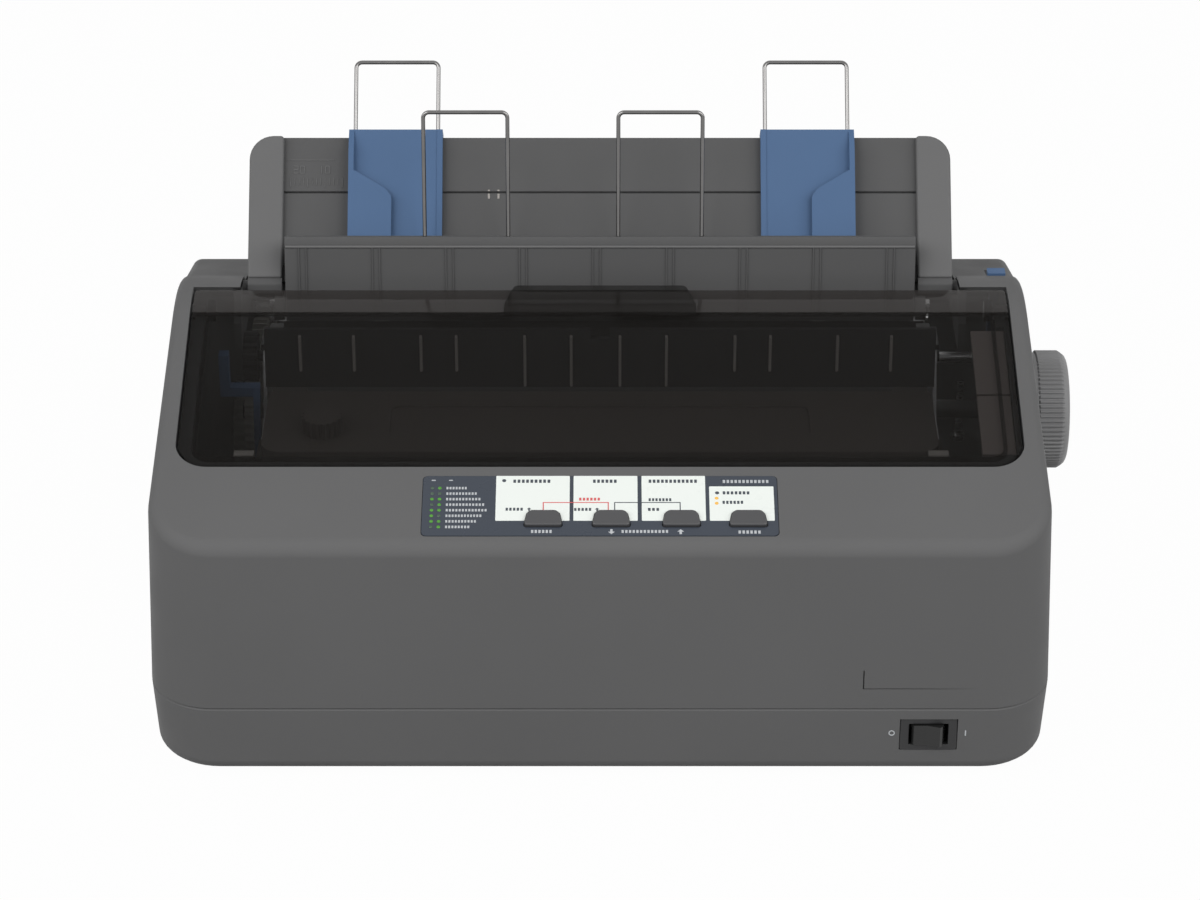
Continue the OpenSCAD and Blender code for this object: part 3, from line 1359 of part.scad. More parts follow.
lower_case();
upper_case();
rubber_feet();
case_screws();
bottom_plate();
left_side_plate();
right_side_plate();
printer_cover();
sheet_guide();
sheet_guide_cover();
left_edge_guide();
right_edge_guide();
left_rear_wire();
right_rear_wire();
left_front_wire();
right_front_wire();
panel_overlay();
panel_board();
indicator_lights();
pause_button();
load_button();
feed_button();
font_button();
power_switch_body();
power_switch_rocker();
platen_knob();
platen_shaft();
platen_roller();
shaft_bearings();
platen_gear();
feed_motor();
feed_motor_pinion();
reduction_gear();
tractor_idler_gear();
gear_studs();
tractor_shaft();
tractor_guide_shaft();
left_tractor();
right_tractor();
left_sprocket();
right_sprocket();
left_tractor_gate();
right_tractor_gate();
carriage();
print_head();
carriage_shaft();
carriage_rail();
timing_belt();
carriage_motor();
motor_pulley();
idler_pulley();
ribbon_cartridge();
ribbon_knob();
paper_guide();
eject_cover();
eject_roller();
paper_release_lever();
paper_thickness_lever();
circuit_boards();
rear_connectors();
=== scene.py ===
"""Looks of a desktop dot matrix printer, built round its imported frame.

Pieces are modelled in millimetres in the casing's own frame, whose X = 0 is the middle of the
casing, and turned into metres in the row frame when they are finished.
"""

import math

import bmesh
import bpy
from mathutils import Matrix, Vector


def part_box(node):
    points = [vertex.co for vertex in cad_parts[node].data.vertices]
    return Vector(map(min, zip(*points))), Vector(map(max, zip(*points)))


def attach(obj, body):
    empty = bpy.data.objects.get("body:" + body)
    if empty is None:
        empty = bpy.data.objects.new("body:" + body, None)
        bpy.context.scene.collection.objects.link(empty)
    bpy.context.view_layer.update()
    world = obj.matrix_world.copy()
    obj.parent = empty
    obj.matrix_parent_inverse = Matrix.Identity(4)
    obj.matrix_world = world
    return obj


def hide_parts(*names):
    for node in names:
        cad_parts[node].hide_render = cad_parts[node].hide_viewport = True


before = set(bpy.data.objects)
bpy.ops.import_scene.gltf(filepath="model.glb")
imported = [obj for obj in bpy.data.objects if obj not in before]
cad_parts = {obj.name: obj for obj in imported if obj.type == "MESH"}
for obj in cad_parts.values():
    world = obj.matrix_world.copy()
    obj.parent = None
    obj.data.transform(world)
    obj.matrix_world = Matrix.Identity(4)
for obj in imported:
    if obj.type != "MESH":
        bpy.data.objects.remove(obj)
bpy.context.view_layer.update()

# -------- sizes, in millimetres

MM = 0.001
case_low, case_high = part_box("upper_case")
CASE_X = (case_low.x + case_high.x) / 2 / MM

# Casing
HALF_W = (case_high.x - case_low.x) / 2 / MM
BACK_Y = case_high.y / MM
FRONT_Y = -BACK_Y
WALL = 2.5
FOOT_H = 4.0
SEAM_H = 35.0
SEAM_CHAMFER = 0.6
FRONT_H = 110.5
FRONT_LEAN = 1.0
REAR_H = 76.0
TOP_PITCH = math.radians(15.5)
REAR_PITCH = math.radians(20)
CREST_DEPTH = 143.5
CREST = (FRONT_Y + CREST_DEPTH, FRONT_H + CREST_DEPTH * math.tan(TOP_PITCH))
CREST_R = 56.0
STRIP_LEN = 21.0
STRIP_END = (CREST[0] + STRIP_LEN, CREST[1] - STRIP_LEN * math.tan(REAR_PITCH))
REAR_STEP = 2.2
REAR_LEN = 76.0
SHOULDER = (CREST[0] + REAR_LEN, CREST[1] - REAR_LEN * math.tan(REAR_PITCH))
SHOULDER_R = 16.0
CORNER_R = 26.0
REAR_CORNER_R = 14.0
UPPER_DRAFT = math.radians(2.25)
LOWER_TAPER = math.radians(3)
FRONT_EDGE_R = 5.0
SIDE_EDGE_R = 4.0
REAR_EDGE_R = 6.0
BOTTOM_R = 6.0
LEVER_X = 165.0
LEVER_SLOT_W = 4.8
LEVER_SLOT_LEN = 23.8
NAME_X = (103.2, 150.0)
NAME_Z = (44.6, 53.4)
NAME_JOINT = 0.5
NAME_JOINT_D = (1.7, 0.85)

# Cover and the opening under it
LID_HALF_W = 166.4
LID_FRONT_Y = FRONT_Y + 42.6
LID_BACK_Y = LID_FRONT_Y + 99.5
LID_T = 2.4
LID_GAP = 1.0
LID_CORNER_R = 12.0
LID_SEAT = 5.0
LID_PIVOT = (-3.0, 141.5)
RECESS_D = LID_T + 0.5
SWING_R = 12.2
CREASE_Y = -11.0
GRIP_HALF_W = 35.0
GRIP_LEN = 17.0
GRIP_H = 2.8
TAB_XS = (-140.5, 133.5)
LEDGE_W = 4.0
PLATE_X = (151.0, LID_HALF_W - 1.8)
PLATE_YS = ((-85.0, -53.4), (-52.4, -17.0))

# Sheet guide, flap, edge guides and wires
BAY_HALF = 148.3
BAY_WALL = 3.0
BAY_SILL = 119.0
GUIDE_LEAN = math.radians(40)
GUIDE_BASE = (22.0, 148.0)
GUIDE_PIVOT = (20.0, 141.0)
GUIDE_HALF_W = 146.0
GUIDE_LEN = 56.5
GUIDE_T = 4.0
GUIDE_TOP_R = 10.0
COLUMN_W = 14.3
GROOVE_Z = 33.0
GROOVE_H = 0.9
NUB_XS = (-46.3, -42.3)
RULER_X = (-130.0, -111.0)
TICK_PITCH = 1.8
TICKS = 13
FLAP_LEAN = math.radians(10.7)
FLAP_PIVOT = (11.0, 133.0)
FLAP_LEN = 29.5
FLAP_HALF_W = 130.0
RIB_PITCH = 30.3
RIB_MIDDLE = -1.45
RIB_GAP = 3.0
RIB_W = 0.5
EDGE_GUIDE_X = 105.25
EDGE_GUIDE_W = 39.0
EDGE_SHIFT = 0.65
EDGE_PLATE_D = 3.2
EDGE_WALL_D = 6.5
WIRE_R = 0.85
WIRE_W = 34.4
WIRE_BEND = 2.4
WIRE_PLAY = 0.1
REAR_WIRE = (EDGE_GUIDE_X - 19.85, -1.75)
REAR_WIRE_Z = (32.0, 88.5)
FRONT_WIRES = (-55.0, 24.7)
FRONT_WIRE_D = 2.1
FRONT_WIRE_Z = (0.0, 85.5)

# Control panel
PANEL_W = 138.0
PANEL_LEN = 32.0
PANEL_START = 6.0
PANEL_T = 0.8
PANEL_R = 2.0
BUTTON_XS = (-22.0, 4.3, 31.5, 57.4)
BUTTON_Y = PANEL_START + 8.8
BUTTON_W = 15.0
BUTTON_LEN = 8.0
BUTTON_H = 1.6

# Switch, platen and rear sockets
SWITCH = (130.0, FRONT_Y + 3.4, 22.7)
BEZEL = (22.6, 14.6)
PLATEN = (18.0, 84.0)
KNOB_IN = HALF_W + 1.5
KNOB_LEN = 15.5
KNOB_R = 24.8
KNOB_RIBS = 76
FRAME_HALF = 138.0
REAR_SOCKETS = ((-132, 28, 20.5), (-20, 14, 12.5), (40, 56, 14), (104, 31, 13))
SOCKET_Z = 19.1

# Heights that clear the casing's top, and the overlap of shapes that are joined
TALL = (60, 200)
TALLER = (50, 210)
NIP = 0.01

# -------- frames

CASE = Matrix.Translation((CASE_X, 0, 0))


def tilted(y, z, angle):
    """Frame at (y, z) in the casing's frame, turned by angle about X."""
    return CASE @ Matrix.Translation((0, y, z)) @ Matrix.Rotation(angle, 4, "X")


SLOPE = tilted(FRONT_Y, FRONT_H, TOP_PITCH)
GUIDE = tilted(*GUIDE_BASE, -GUIDE_LEAN)
FLAP = tilted(*FLAP_PIVOT, -FLAP_LEAN)

# -------- outlines and solids


def fillet(points, radii, steps=6, closed=True):
    """Points of an outline, with corner i rounded to radii[i]."""
    out = []
    count = len(points)
    for i, (corner, r) in enumerate(zip(points, radii)):
        p = Vector(corner)
        if r <= 0 or (not closed and i in (0, count - 1)):
            out.append(p)
            continue
        u = (Vector(points[i - 1]) - p).normalized()
        v = (Vector(points[(i + 1) % count]) - p).normalized()
        half = u.angle(v) / 2
        mid = p + (u + v).normalized() * r / math.sin(half)
        start = p + u * r / math.tan(half) - mid
        end = p + v * r / math.tan(half) - mid
        a = math.atan2(start.y, start.x)
        turn = (math.atan2(end.y, end.x) - a + math.pi) % (2 * math.pi) - math.pi
        for j in range(steps + 1):
            b = a + turn * j / steps
            out.append(mid + r * Vector((math.cos(b), math.sin(b))))
    return out


def box_outline(x0, x1, y0, y1, r=0.0, steps=5):
    """Rectangle with its corners rounded to r."""
    corners = [(x0, y0), (x1, y0), (x1, y1), (x0, y1)]
    return fillet(corners, [r] * 4, steps)


def circle_outline(x, y, r, count=32):
    turns = [2 * math.pi * i / count for i in range(count)]
    return [Vector((x + r * math.cos(a), y + r * math.sin(a))) for a in turns]


PLANES = {
    "xy": lambda a, b, t: Vector((a, b, t)),
    "xz": lambda a, b, t: Vector((a, t, b)),
    "yz": lambda a, b, t: Vector((t, a, b)),
}


def prism(outline, lo, hi, plane="xy"):
    """An outline drawn out from lo to hi, square to its plane."""
    to_space = PLANES[plane]
    n = len(outline)
    verts = [to_space(p[0], p[1], t) for t in (lo, hi) for p in outline]
    faces = [tuple(range(n)), tuple(range(n, 2 * n))]
    faces += [(i, (i + 1) % n, n + (i + 1) % n, n + i) for i in range(n)]
    return verts, faces


def block(x, y, z):
    return prism(box_outline(*x, *y), *z)


def about(c, d):
    return (c - d, c + d)


def outward(side, a, b):
    """The range between side * a and side * b, with its lower end first."""
    return sorted((side * a, side * b))


def loft(rings, ends=True):
    """Skin over rings with the same number of points each."""
    n = len(rings[0])
    verts = [Vector(p) for ring in rings for p in ring]
    faces = [(k * n + i, k * n + (i + 1) % n, (k + 1) * n + (i + 1) % n, (k + 1) * n + i)
             for k in range(len(rings) - 1) for i in range(n)]
    if ends:
        last = (len(rings) - 1) * n
        faces += [tuple(range(n)), tuple(range(last, last + n))]
    return verts, faces


def tube(path, r, sides=16):
    """Round tube along a path of points that lie in one plane square to Y."""
    rings = []
    for i, p in enumerate(path):
        along = (path[min(i + 1, len(path) - 1)] - path[max(i - 1, 0)]).normalized()
        across = Vector((0, 1, 0)).cross(along).normalized()
        rings.append([p + r * (across * math.cos(a) + Vector((0, 1, 0)) * math.sin(a))
                      for a in (2 * math.pi * k / sides for k in range(sides))])
    return loft(rings)


# -------- mesh objects


def solid(*shapes):
    """One temporary object from shapes, which are (points, faces) each."""
    bm = bmesh.new()
    for verts, faces in shapes:
        made = [bm.verts.new(v) for v in verts]
        for face in faces:
            bm.faces.new([made[i] for i in face])
    bmesh.ops.recalc_face_normals(bm, faces=bm.faces)
    mesh = bpy.data.meshes.new("part")
    bm.to_mesh(mesh)
    bm.free()
    obj = bpy.data.objects.new("part", mesh)
    bpy.context.scene.collection.objects.link(obj)
    return obj


def bake(obj):
    """Turns the object's modifiers into its mesh."""
    depsgraph = bpy.context.evaluated_depsgraph_get()
    mesh = bpy.data.meshes.new_from_object(obj.evaluated_get(depsgraph))
    obj.modifiers.clear()
    obj.data = mesh
    return obj


def combine(obj, tool, operation):
    modifier = obj.modifiers.new("combine", "BOOLEAN")
    modifier.operation = operation
    modifier.solver = "EXACT"
    modifier.object = tool
    bake(obj)
    bpy.data.objects.remove(tool)
    return obj


def cut(obj, *shapes):
    """Takes each shape out of the object."""
    for shape in shapes:
        combine(obj, solid(shape), "DIFFERENCE")
    return obj


def join(obj, *shapes):
    for shape in shapes:
        combine(obj, solid(shape), "UNION")
    return obj


def soften(obj, width, segments=3, angle=35):
    """Rounds the edges that are sharper than the angle."""
    modifier = obj.modifiers.new("soften", "BEVEL")
    modifier.width = width
    modifier.segments = segments
    modifier.limit_method = "ANGLE"
    modifier.angle_limit = math.radians(angle)
    modifier.miter_outer = "MITER_ARC"
    return bake(obj)


def finished(obj, name, material, body, where=CASE, replaces=(), smooth=35, weighted=True):
    """Names the object, moves it into the row frame and ties it to its body."""
    obj.name = name
    obj.data.name = name
    obj.data.transform(Matrix.Scale(MM, 4) @ where)
    if where.determinant() < 0:
        obj.data.flip_normals()
    obj.data.shade_smooth()
    obj.data.set_sharp_from_angle(angle=math.radians(smooth))
    if weighted:
        modifier = obj.modifiers.new("normals", "WEIGHTED_NORMAL")
        modifier.keep_sharp = True
        bake(obj)
        obj.data.name = name
    obj.data.materials.clear()
    obj.data.materials.append(material)
    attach(obj, body)
    if replaces:
        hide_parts(*replaces)
    return obj


# -------- materials


def preset(node, values):
    """Sets inputs of a shader node by their names."""
    for name, value in values.items():
        node.inputs[name].default_value = value
    return node


def new_node(tree, kind, values):
    return preset(tree.nodes.new("ShaderNode" + kind), values)


def principled(name, colour, roughness, metallic=0.0):
    material = bpy.data.materials.new(name)
    material.use_nodes = True
    shader = material.node_tree.nodes["Principled BSDF"]
    preset(shader, {"Base Color": (*colour, 1), "Roughness": roughness, "Metallic": metallic})
    return material, material.node_tree, shader


def noise(tree, scale, detail=3.0, stretch=(1, 1, 1)):
    where = tree.nodes.new("ShaderNodeTexCoord")
    mapping = new_node(tree, "Mapping", {"Scale": stretch})
    texture = new_node(tree, "TexNoise", {"Scale": scale, "Detail": detail})
    tree.links.new(where.outputs["Object"], mapping.inputs["Vector"])
    tree.links.new(mapping.outputs["Vector"], texture.inputs["Vector"])
    return texture.outputs["Fac"]


def spread(tree, value, low, high):
    """Noise from 0.3 to 0.7 spread over low to high."""
    node = new_node(tree, "MapRange", {"From Min": 0.3, "From Max": 0.7, "To Min": low, "To Max": high})
    tree.links.new(value, node.inputs["Value"])
    return node.outputs["Result"]


def tint(tree, shader, colour, value, amount):
    """Base colour that varies by amount either way with the value."""
    mix = tree.nodes.new("ShaderNodeMix")
    mix.data_type = "RGBA"
    preset(mix, {"A": (*[c * (1 - amount) for c in colour], 1),
                 "B": (*[min(1, c * (1 + amount)) for c in colour], 1)})
    tree.links.new(spread(tree, value, 0, 1), mix.inputs["Factor"])
    tree.links.new(mix.outputs["Result"], shader.inputs["Base Color"])


def bump(tree, shader, value, strength, distance):
    node = new_node(tree, "Bump", {"Strength": strength, "Distance": distance})
    tree.links.new(value, node.inputs["Height"])
    tree.links.new(node.outputs["Normal"], shader.inputs["Normal"])


def plastic(name, colour, roughness=0.5, grain=1500, depth=0.12, mottle=0.02, gloss=0.4):
    """Moulded plastic with a fine eroded texture and a faint change of tone over its face."""
    material, tree, shader = principled(name, colour, roughness)
    preset(shader, {"Specular IOR Level": gloss})
    tint(tree, shader, colour, noise(tree, 14, 4), mottle)
    tree.links.new(spread(tree, noise(tree, 60, 4), roughness - 0.05, roughness + 0.05),
                   shader.inputs["Roughness"])
    bump(tree, shader, noise(tree, grain, 2), depth, 0.0001)
    return material


def metal(name, colour, roughness, stretch=(1, 1, 1), scale=900, depth=0.08):
    """Metal with marks that run where stretch is smallest."""
    material, tree, shader = principled(name, colour, roughness, metallic=1.0)
    marks = noise(tree, scale, 3, stretch)
    tint(tree, shader, colour, marks, 0.06)
    tree.links.new(spread(tree, marks, roughness * 0.8, roughness * 1.2), shader.inputs["Roughness"])
    bump(tree, shader, marks, depth, 0.00005)
    return material


def rubber(name, colour, roughness=0.75, grain=900):
    material, tree, shader = principled(name, colour, roughness)
    tint(tree, shader, colour, noise(tree, 40, 5), 0.12)
    bump(tree, shader, noise(tree, grain, 4), 0.25, 0.0001)
    return material


def smoked(name, colour, alpha, gloss):
    """Polished see-through plastic with a faint waviness."""
    material, tree, shader = principled(name, colour, 0.06)
    preset(shader, {"Alpha": alpha, "Specular IOR Level": gloss})
    tree.links.new(spread(tree, noise(tree, 25, 2), 0.045, 0.075), shader.inputs["Roughness"])
    bump(tree, shader, noise(tree, 12, 1), 0.04, 0.0004)
    return material


def lamp(name, colour, glow):
    material, tree, shader = principled(name, colour, 0.25)
    preset(shader, {"Emission Color": (*colour, 1), "Emission Strength": glow})
    tint(tree, shader, colour, noise(tree, 700, 2), 0.1)
    return material


def circuit_board(name):
    """Solder mask over a grid of copper tracks."""
    colour = (0.015, 0.1, 0.04)
    material, tree, shader = principled(name, colour, 0.35)
    where = tree.nodes.new("ShaderNodeTexCoord")
    tracks = new_node(tree, "TexBrick", {
        "Scale": 90, "Mortar Size": 0.06, "Color1": (*colour, 1),
        "Color2": (0.012, 0.085, 0.035, 1), "Mortar": (0.03, 0.17, 0.07, 1)})
    tree.links.new(where.outputs["Object"], tracks.inputs["Vector"])
    tree.links.new(tracks.outputs["Color"], shader.inputs["Base Color"])
    bump(tree, shader, tracks.outputs["Fac"], 0.15, 0.0001)
    return material


CASING = plastic("casing_plastic", (0.132, 0.132, 0.133), 0.58, gloss=0.05)
GUIDING = plastic("guide_plastic", (0.096, 0.096, 0.097), 0.55, gloss=0.1)
COLUMN = plastic("column_plastic", (0.14, 0.14, 0.141), 0.5, gloss=0.1)
BLUE = plastic("blue_plastic", (0.075, 0.135, 0.25), 0.5, gloss=0.15)
BLACK = plastic("black_plastic", (0.02, 0.02, 0.021), 0.45)
BLACK_GLOSS = plastic("black_gloss", (0.012, 0.012, 0.012), 0.22, depth=0.05)
BUTTON = plastic("button_plastic", (0.065, 0.065, 0.068), 0.42)
KNOB = plastic("knob_plastic", (0.23, 0.23, 0.232), 0.5, gloss=0.3)
RIBBED = plastic("ribbed_plastic", (0.32, 0.30, 0.28), 0.4)
BROWN = plastic("brown_plastic", (0.21, 0.178, 0.168), 0.5)
CARTRIDGE = plastic("cartridge_plastic", (0.085, 0.074, 0.068), 0.5, gloss=0.2)
PALE = plastic("white_plastic", (0.7, 0.69, 0.64), 0.38)
INK_FILM = plastic("panel_film", (0.036, 0.045, 0.062), 0.3, depth=0.05)
WHITE_FILM = plastic("panel_white", (0.86, 0.90, 0.86), 0.3, depth=0.02, mottle=0.003)
DARK_INK = plastic("dark_ink", (0.05, 0.06, 0.075), 0.4)
PALE_INK = plastic("pale_ink", (0.5, 0.52, 0.54), 0.4)
RED_INK = plastic("red_ink", (0.65, 0.12, 0.12), 0.4)
CHROME = metal("chrome_wire", (0.17, 0.167, 0.165), 0.14, scale=120, depth=0.005)
STEEL = metal("bright_steel", (0.6, 0.6, 0.6), 0.28, stretch=(0.03, 1, 1))
# Steel darkened as painted shade, so the shafts under the cover show no bright highlights there.
SHADE_DARKENED_STEEL = metal("shade_darkened_steel", (0.10, 0.10, 0.10), 0.35, stretch=(0.03, 1, 1))
SHEET_STEEL = metal("frame_steel", (0.5, 0.5, 0.51), 0.4, scale=300)
BRASS = metal("brass_gear", (0.7, 0.5, 0.2), 0.3)
ALUMINIUM = metal("head_aluminium", (0.17, 0.17, 0.175), 0.45)
ROLLER = rubber("platen_rubber", (0.02, 0.02, 0.02), 0.6)
FOOT = rubber("foot_rubber", (0.025, 0.025, 0.025))
BELT = rubber("belt_rubber", (0.015, 0.015, 0.015))
SMOKED = smoked("smoked_plastic", (0.006, 0.005, 0.004), 0.42, 0.12)
# Paler, less see-through copy of the smoked plastic: a painted reflection on the cover's rear band.
PAINTED_REFLECTION_STRIP = smoked("smoked_strip_painted_reflection", (0.035, 0.031, 0.029), 0.55, 0.3)
GREEN_LAMP = lamp("green_lamp", (0.06, 0.25, 0.02), 0.15)
DIM_LAMP = lamp("dim_lamp", (0.05, 0.09, 0.06), 0.05)
AMBER_LAMP = lamp("amber_lamp", (0.75, 0.42, 0.08), 0.25)
BOARD = circuit_board("board_green")

# -------- casing


def top_line():
    """Side view of the casing's top as (y, z), from the front edge to the back."""
    below = (STRIP_END[0] + 0.3, STRIP_END[1] - REAR_STEP)
    corners = [(FRONT_Y, FRONT_H), CREST, STRIP_END, below, SHOULDER, (BACK_Y, REAR_H)]
    return fillet(corners, [0, CREST_R, 0, 0, SHOULDER_R, 0], 14, closed=False)


TOP_LINE = top_line()


def top_z(y):
    """Height of the casing's top line at y."""
    for a, b in zip(TOP_LINE, TOP_LINE[1:]):
        if y <= b[0]:
            break
    return a[1] + (b[1] - a[1]) * (y - a[0]) / (b[0] - a[0])


# Rows of points along a side, and steps round a corner and over an edge
SIDE_ROWS = [FRONT_Y + 60] + [p[0] for p in TOP_LINE[1:-1]] + [BACK_Y - 30]
CORNER_STEPS = 12
EDGE_STEPS = 7


def plan_half(w, front, back, r_front, r_back):
    """Right half of a plan outline, from the front edge round to the back."""
    quarter = [math.pi / 2 * j / CORNER_STEPS for j in range(CORNER_STEPS + 1)]
    half = [(w - r_front * (1 - math.sin(a)), front + r_front * (1 - math.cos(a))) for a in quarter]
    half += [(w, y) for y in SIDE_ROWS]
    half += [(w - r_back * (1 - math.cos(a)), back - r_back * (1 - math.sin(a))) for a in quarter]
    return half


def corner_radii(reach):
    """Radii of the front and the rear corners, reach inside the skin."""
    return CORNER_R - reach, REAR_CORNER_R - min(reach, REAR_CORNER_R - 1)


def edge_radii():
    """Radius of the top edge at each point of the half outline."""
    corner = [0.5 - 0.5 * math.cos(math.pi * j / CORNER_STEPS) for j in range(CORNER_STEPS + 1)]
    front = [FRONT_EDGE_R + (SIDE_EDGE_R - FRONT_EDGE_R) * t for t in corner]
    back = [SIDE_EDGE_R + (REAR_EDGE_R - SIDE_EDGE_R) * t for t in corner]
    return front + [SIDE_EDGE_R] * len(SIDE_ROWS) + back


def ladder(n, base):
    """Faces between the two mirrored halves of a ring of 2n points that starts at base."""
    return [(base + i, base + i + 1, base + 2 * n - 2 - i, base + 2 * n - 1 - i) for i in range(n - 1)]


def full_ring(half):
    return half + [Vector((-p[0], p[1], p[2])) for p in reversed(half)]


def ring_skin(rings):
    """Closed skin over rings whose points are given for their right halves."""
    count = len(rings[0])
    verts, faces = loft([full_ring(half) for half in rings], ends=False)
    return verts, faces + ladder(count, 0) + ladder(count, (len(rings) - 1) * 2 * count)


def upper_solid(depth, floor):
    """Solid inside the upper casing's skin, depth below it, from the height floor up."""
    radii = [max(r - depth, 0.8) for r in edge_radii()]

    def point(i, inset, z):
        reach = inset + depth
        w = HALF_W - (z - SEAM_H) * math.tan(UPPER_DRAFT) - reach
        front = FRONT_Y + reach + FRONT_LEAN * (FRONT_H - z) / (FRONT_H - SEAM_H)
        x, y = plan_half(w, front, BACK_Y - reach, *corner_radii(reach))[i]
        return Vector((x, y, z))

    rows = range(len(radii))
    chamfer = SEAM_CHAMFER if depth == 0 else 0
    rings = [[point(i, chamfer, floor) for i in rows], [point(i, 0, floor + SEAM_CHAMFER) for i in rows]]
    for k in range(EDGE_STEPS + 1):
        a = math.pi / 2 * k / EDGE_STEPS
        ring = []
        for i, r in enumerate(radii):
            inset = r * (1 - math.cos(a))
            y = point(i, inset, FRONT_H)[1]
            ring.append(point(i, inset, top_z(y) - depth - r * (1 - math.sin(a))))
        rings.append(ring)
    return ring_skin(rings)


def lower_taper(z):
    """How far the lower casing's sides have come in at the height z."""
    return (SEAM_H - z) * math.tan(LOWER_TAPER)


def lower_solid(depth, roof):
    """Solid inside the lower casing's skin, depth below it, up to the height roof."""
    rows = range(len(edge_radii()))

    def point(i, inset, z):
        reach = inset + depth
        come_in = lower_taper(z) + reach
        front = FRONT_Y + FRONT_LEAN + come_in
        x, y = plan_half(HALF_W - come_in, front, BACK_Y - reach, *corner_radii(reach))[i]
        return Vector((x, y, z))

    rings = []
    r = BOTTOM_R - depth
    for k in range(EDGE_STEPS + 1):
        a = math.pi / 2 * (1 - k / EDGE_STEPS)
        z = FOOT_H + depth + r * (1 - math.sin(a))
        rings.append([point(i, r * (1 - math.cos(a)), z) for i in rows])
    chamfer = SEAM_CHAMFER if depth == 0 else 0
    rings.append([point(i, 0, roof - SEAM_CHAMFER) for i in rows])
    rings.append([point(i, chamfer, roof) for i in rows])
    return ring_skin(rings)


def lid_plan(grow):
    """The cover seen from above, grown by grow all round."""
    w, y, r = LID_HALF_W + grow, LID_FRONT_Y - grow, LID_CORNER_R + grow
    back = LID_BACK_Y + max(grow, 0)
    return fillet([(-w, y), (w, y), (w, back), (-w, back)], [r, r, 1.5, 1.5], 10)


def swing_room(obj):
    """Takes out the room that the cover's rear edge needs as it swings down."""
    half_w = LID_HALF_W + LID_GAP
    room = solid(prism(circle_outline(*LID_PIVOT, SWING_R, 64), -half_w, half_w, "yz"))
    cut(room, block(about(0, HALF_W), (LID_PIVOT[0] - 30, LID_PIVOT[0]), TALL))
    combine(obj, room, "DIFFERENCE")


def top_band(y0, y1, above, below, step=3.0):
    """Two lines along the casing's top line: one as far above it, one as far below it."""
    count = max(2, int((y1 - y0) / step))
    rows = [y0 + (y1 - y0) * i / count for i in range(count + 1)]
    upper, lower = [], []
    for y in rows:
        middle = Vector((y, top_z(y)))
        normal = Vector((top_z(y - 0.5) - top_z(y + 0.5), 1)).normalized()
        upper.append(middle + normal * above)
        lower.append(middle - normal * below)
    return upper, lower


def band_prism(half_w, y0, y1, above, below):
    """Band along X that follows the casing's top line, above and below it."""
    upper, lower = top_band(y0, y1, above, below)
    return prism(upper + lower[::-1], -half_w, half_w, "yz")


def clipped(shape, *limits):
    """The part of a shape that lies inside the limits, as an object."""
    return combine(solid(shape), solid(*limits), "INTERSECT")


def upper_casing():
    shell = solid(upper_solid(0, SEAM_H))
    cut(shell, upper_solid(WALL, SEAM_H - 3))
    # Recess of the cover, and the opening under it
    recess = band_prism(HALF_W, LID_FRONT_Y - 6, LID_BACK_Y + LID_GAP, 9, RECESS_D)
    combine(shell, clipped(recess, prism(lid_plan(LID_GAP), *TALL)), "DIFFERENCE")
    swing_room(shell)
    # Paper bay, open to the back
    cut(shell, block(about(0, BAY_HALF), (LID_BACK_Y - 2, BACK_Y + 20), (REAR_H - 12, 200)))
    # Slot of the release lever
    slot_y = STRIP_END[0] + 0.6
    cut(shell, block(about(LEVER_X, LEVER_SLOT_W / 2), (slot_y, slot_y + LEVER_SLOT_LEN), (120, 170)))
    # Hole of the platen shaft and windows over the rear sockets
    cut(shell, prism(circle_outline(*PLATEN, 8), HALF_W - 15, HALF_W + 5, "yz"))
    for x, width, height in REAR_SOCKETS:
        if SOCKET_Z + height > SEAM_H:
            cut(shell, block(about(x, width / 2), (BACK_Y - 8, BACK_Y + 1), (SEAM_H - 1, SOCKET_Z + height)))
    # Seat of the control panel
    ends = (PANEL_START - 0.2, PANEL_START + PANEL_LEN + 0.2)
    seat = solid(prism(box_outline(*about(0, PANEL_W / 2 + 0.2), *ends, PANEL_R), -PANEL_T, 10))
    seat.data.transform(CASE.inverted() @ SLOPE)
    combine(shell, seat, "DIFFERENCE")
    soften(shell, 0.5, 2)
    name_joint(shell)
    finished(shell, "upper_casing", CASING, "chassis", replaces=["upper_case"])


def name_joint(shell):
    """Joint at the left and under the bare name plate, which runs out to the right."""
    x0, x1 = NAME_X
    z0, z1 = NAME_Z
    outer = FRONT_Y - 2
    deep, shallow = [FRONT_Y + d for d in NAME_JOINT_D]
    cut(shell, block((x0, x0 + NAME_JOINT), (outer, deep), (z0 + 0.4, z1)))
    groove = ((x0, outer), (x0, deep), (x1, shallow), (x1, outer))
    cut(shell, prism(groove, z0, z0 + 0.4 + NIP))


def black_shade_ledge():
    """Ledge under the cover's rim, in black plastic as painted shade in the gap round the cover."""
    half_w, front = LID_HALF_W + LEDGE_W, LID_FRONT_Y - LEDGE_W
    band = band_prism(half_w, front, LID_BACK_Y - 6, -LID_T - 0.4, LID_T + 4.4)
    ledge = clipped(band, prism(lid_plan(LEDGE_W), *TALL))
    cut(ledge, prism(lid_plan(-LID_SEAT), *TALLER))
    # Groove that leaves the gap round the cover dark
    band = band_prism(HALF_W, LID_FRONT_Y - 6, LID_BACK_Y, 9, LID_T + 3.4)
    groove = clipped(band, prism(lid_plan(LID_GAP), *TALL))
    cut(groove, prism(lid_plan(-1.2), *TALLER))
    combine(ledge, groove, "DIFFERENCE")
    swing_room(ledge)
    cut(ledge, block(PLATE_X, (PLATE_YS[0][0] - 1, PLATE_YS[-1][1] + 1), TALL))
    # The black plastic here is painted shade, so the gap round the cover reads dark.
    finished(ledge, "black_shade_ledge", BLACK, "chassis")


def opening_plates():
    """Two plates at the right end of the opening."""
    plates = solid(*[band_prism(HALF_W, y0, y1, -LID_T - 2, LID_T + 3.6) for y0, y1 in PLATE_YS])
    combine(plates, solid(block(PLATE_X, (-100, 0), TALL)), "INTERSECT")
    finished(soften(plates, 0.4, 2), "opening_plates", BROWN, "chassis")


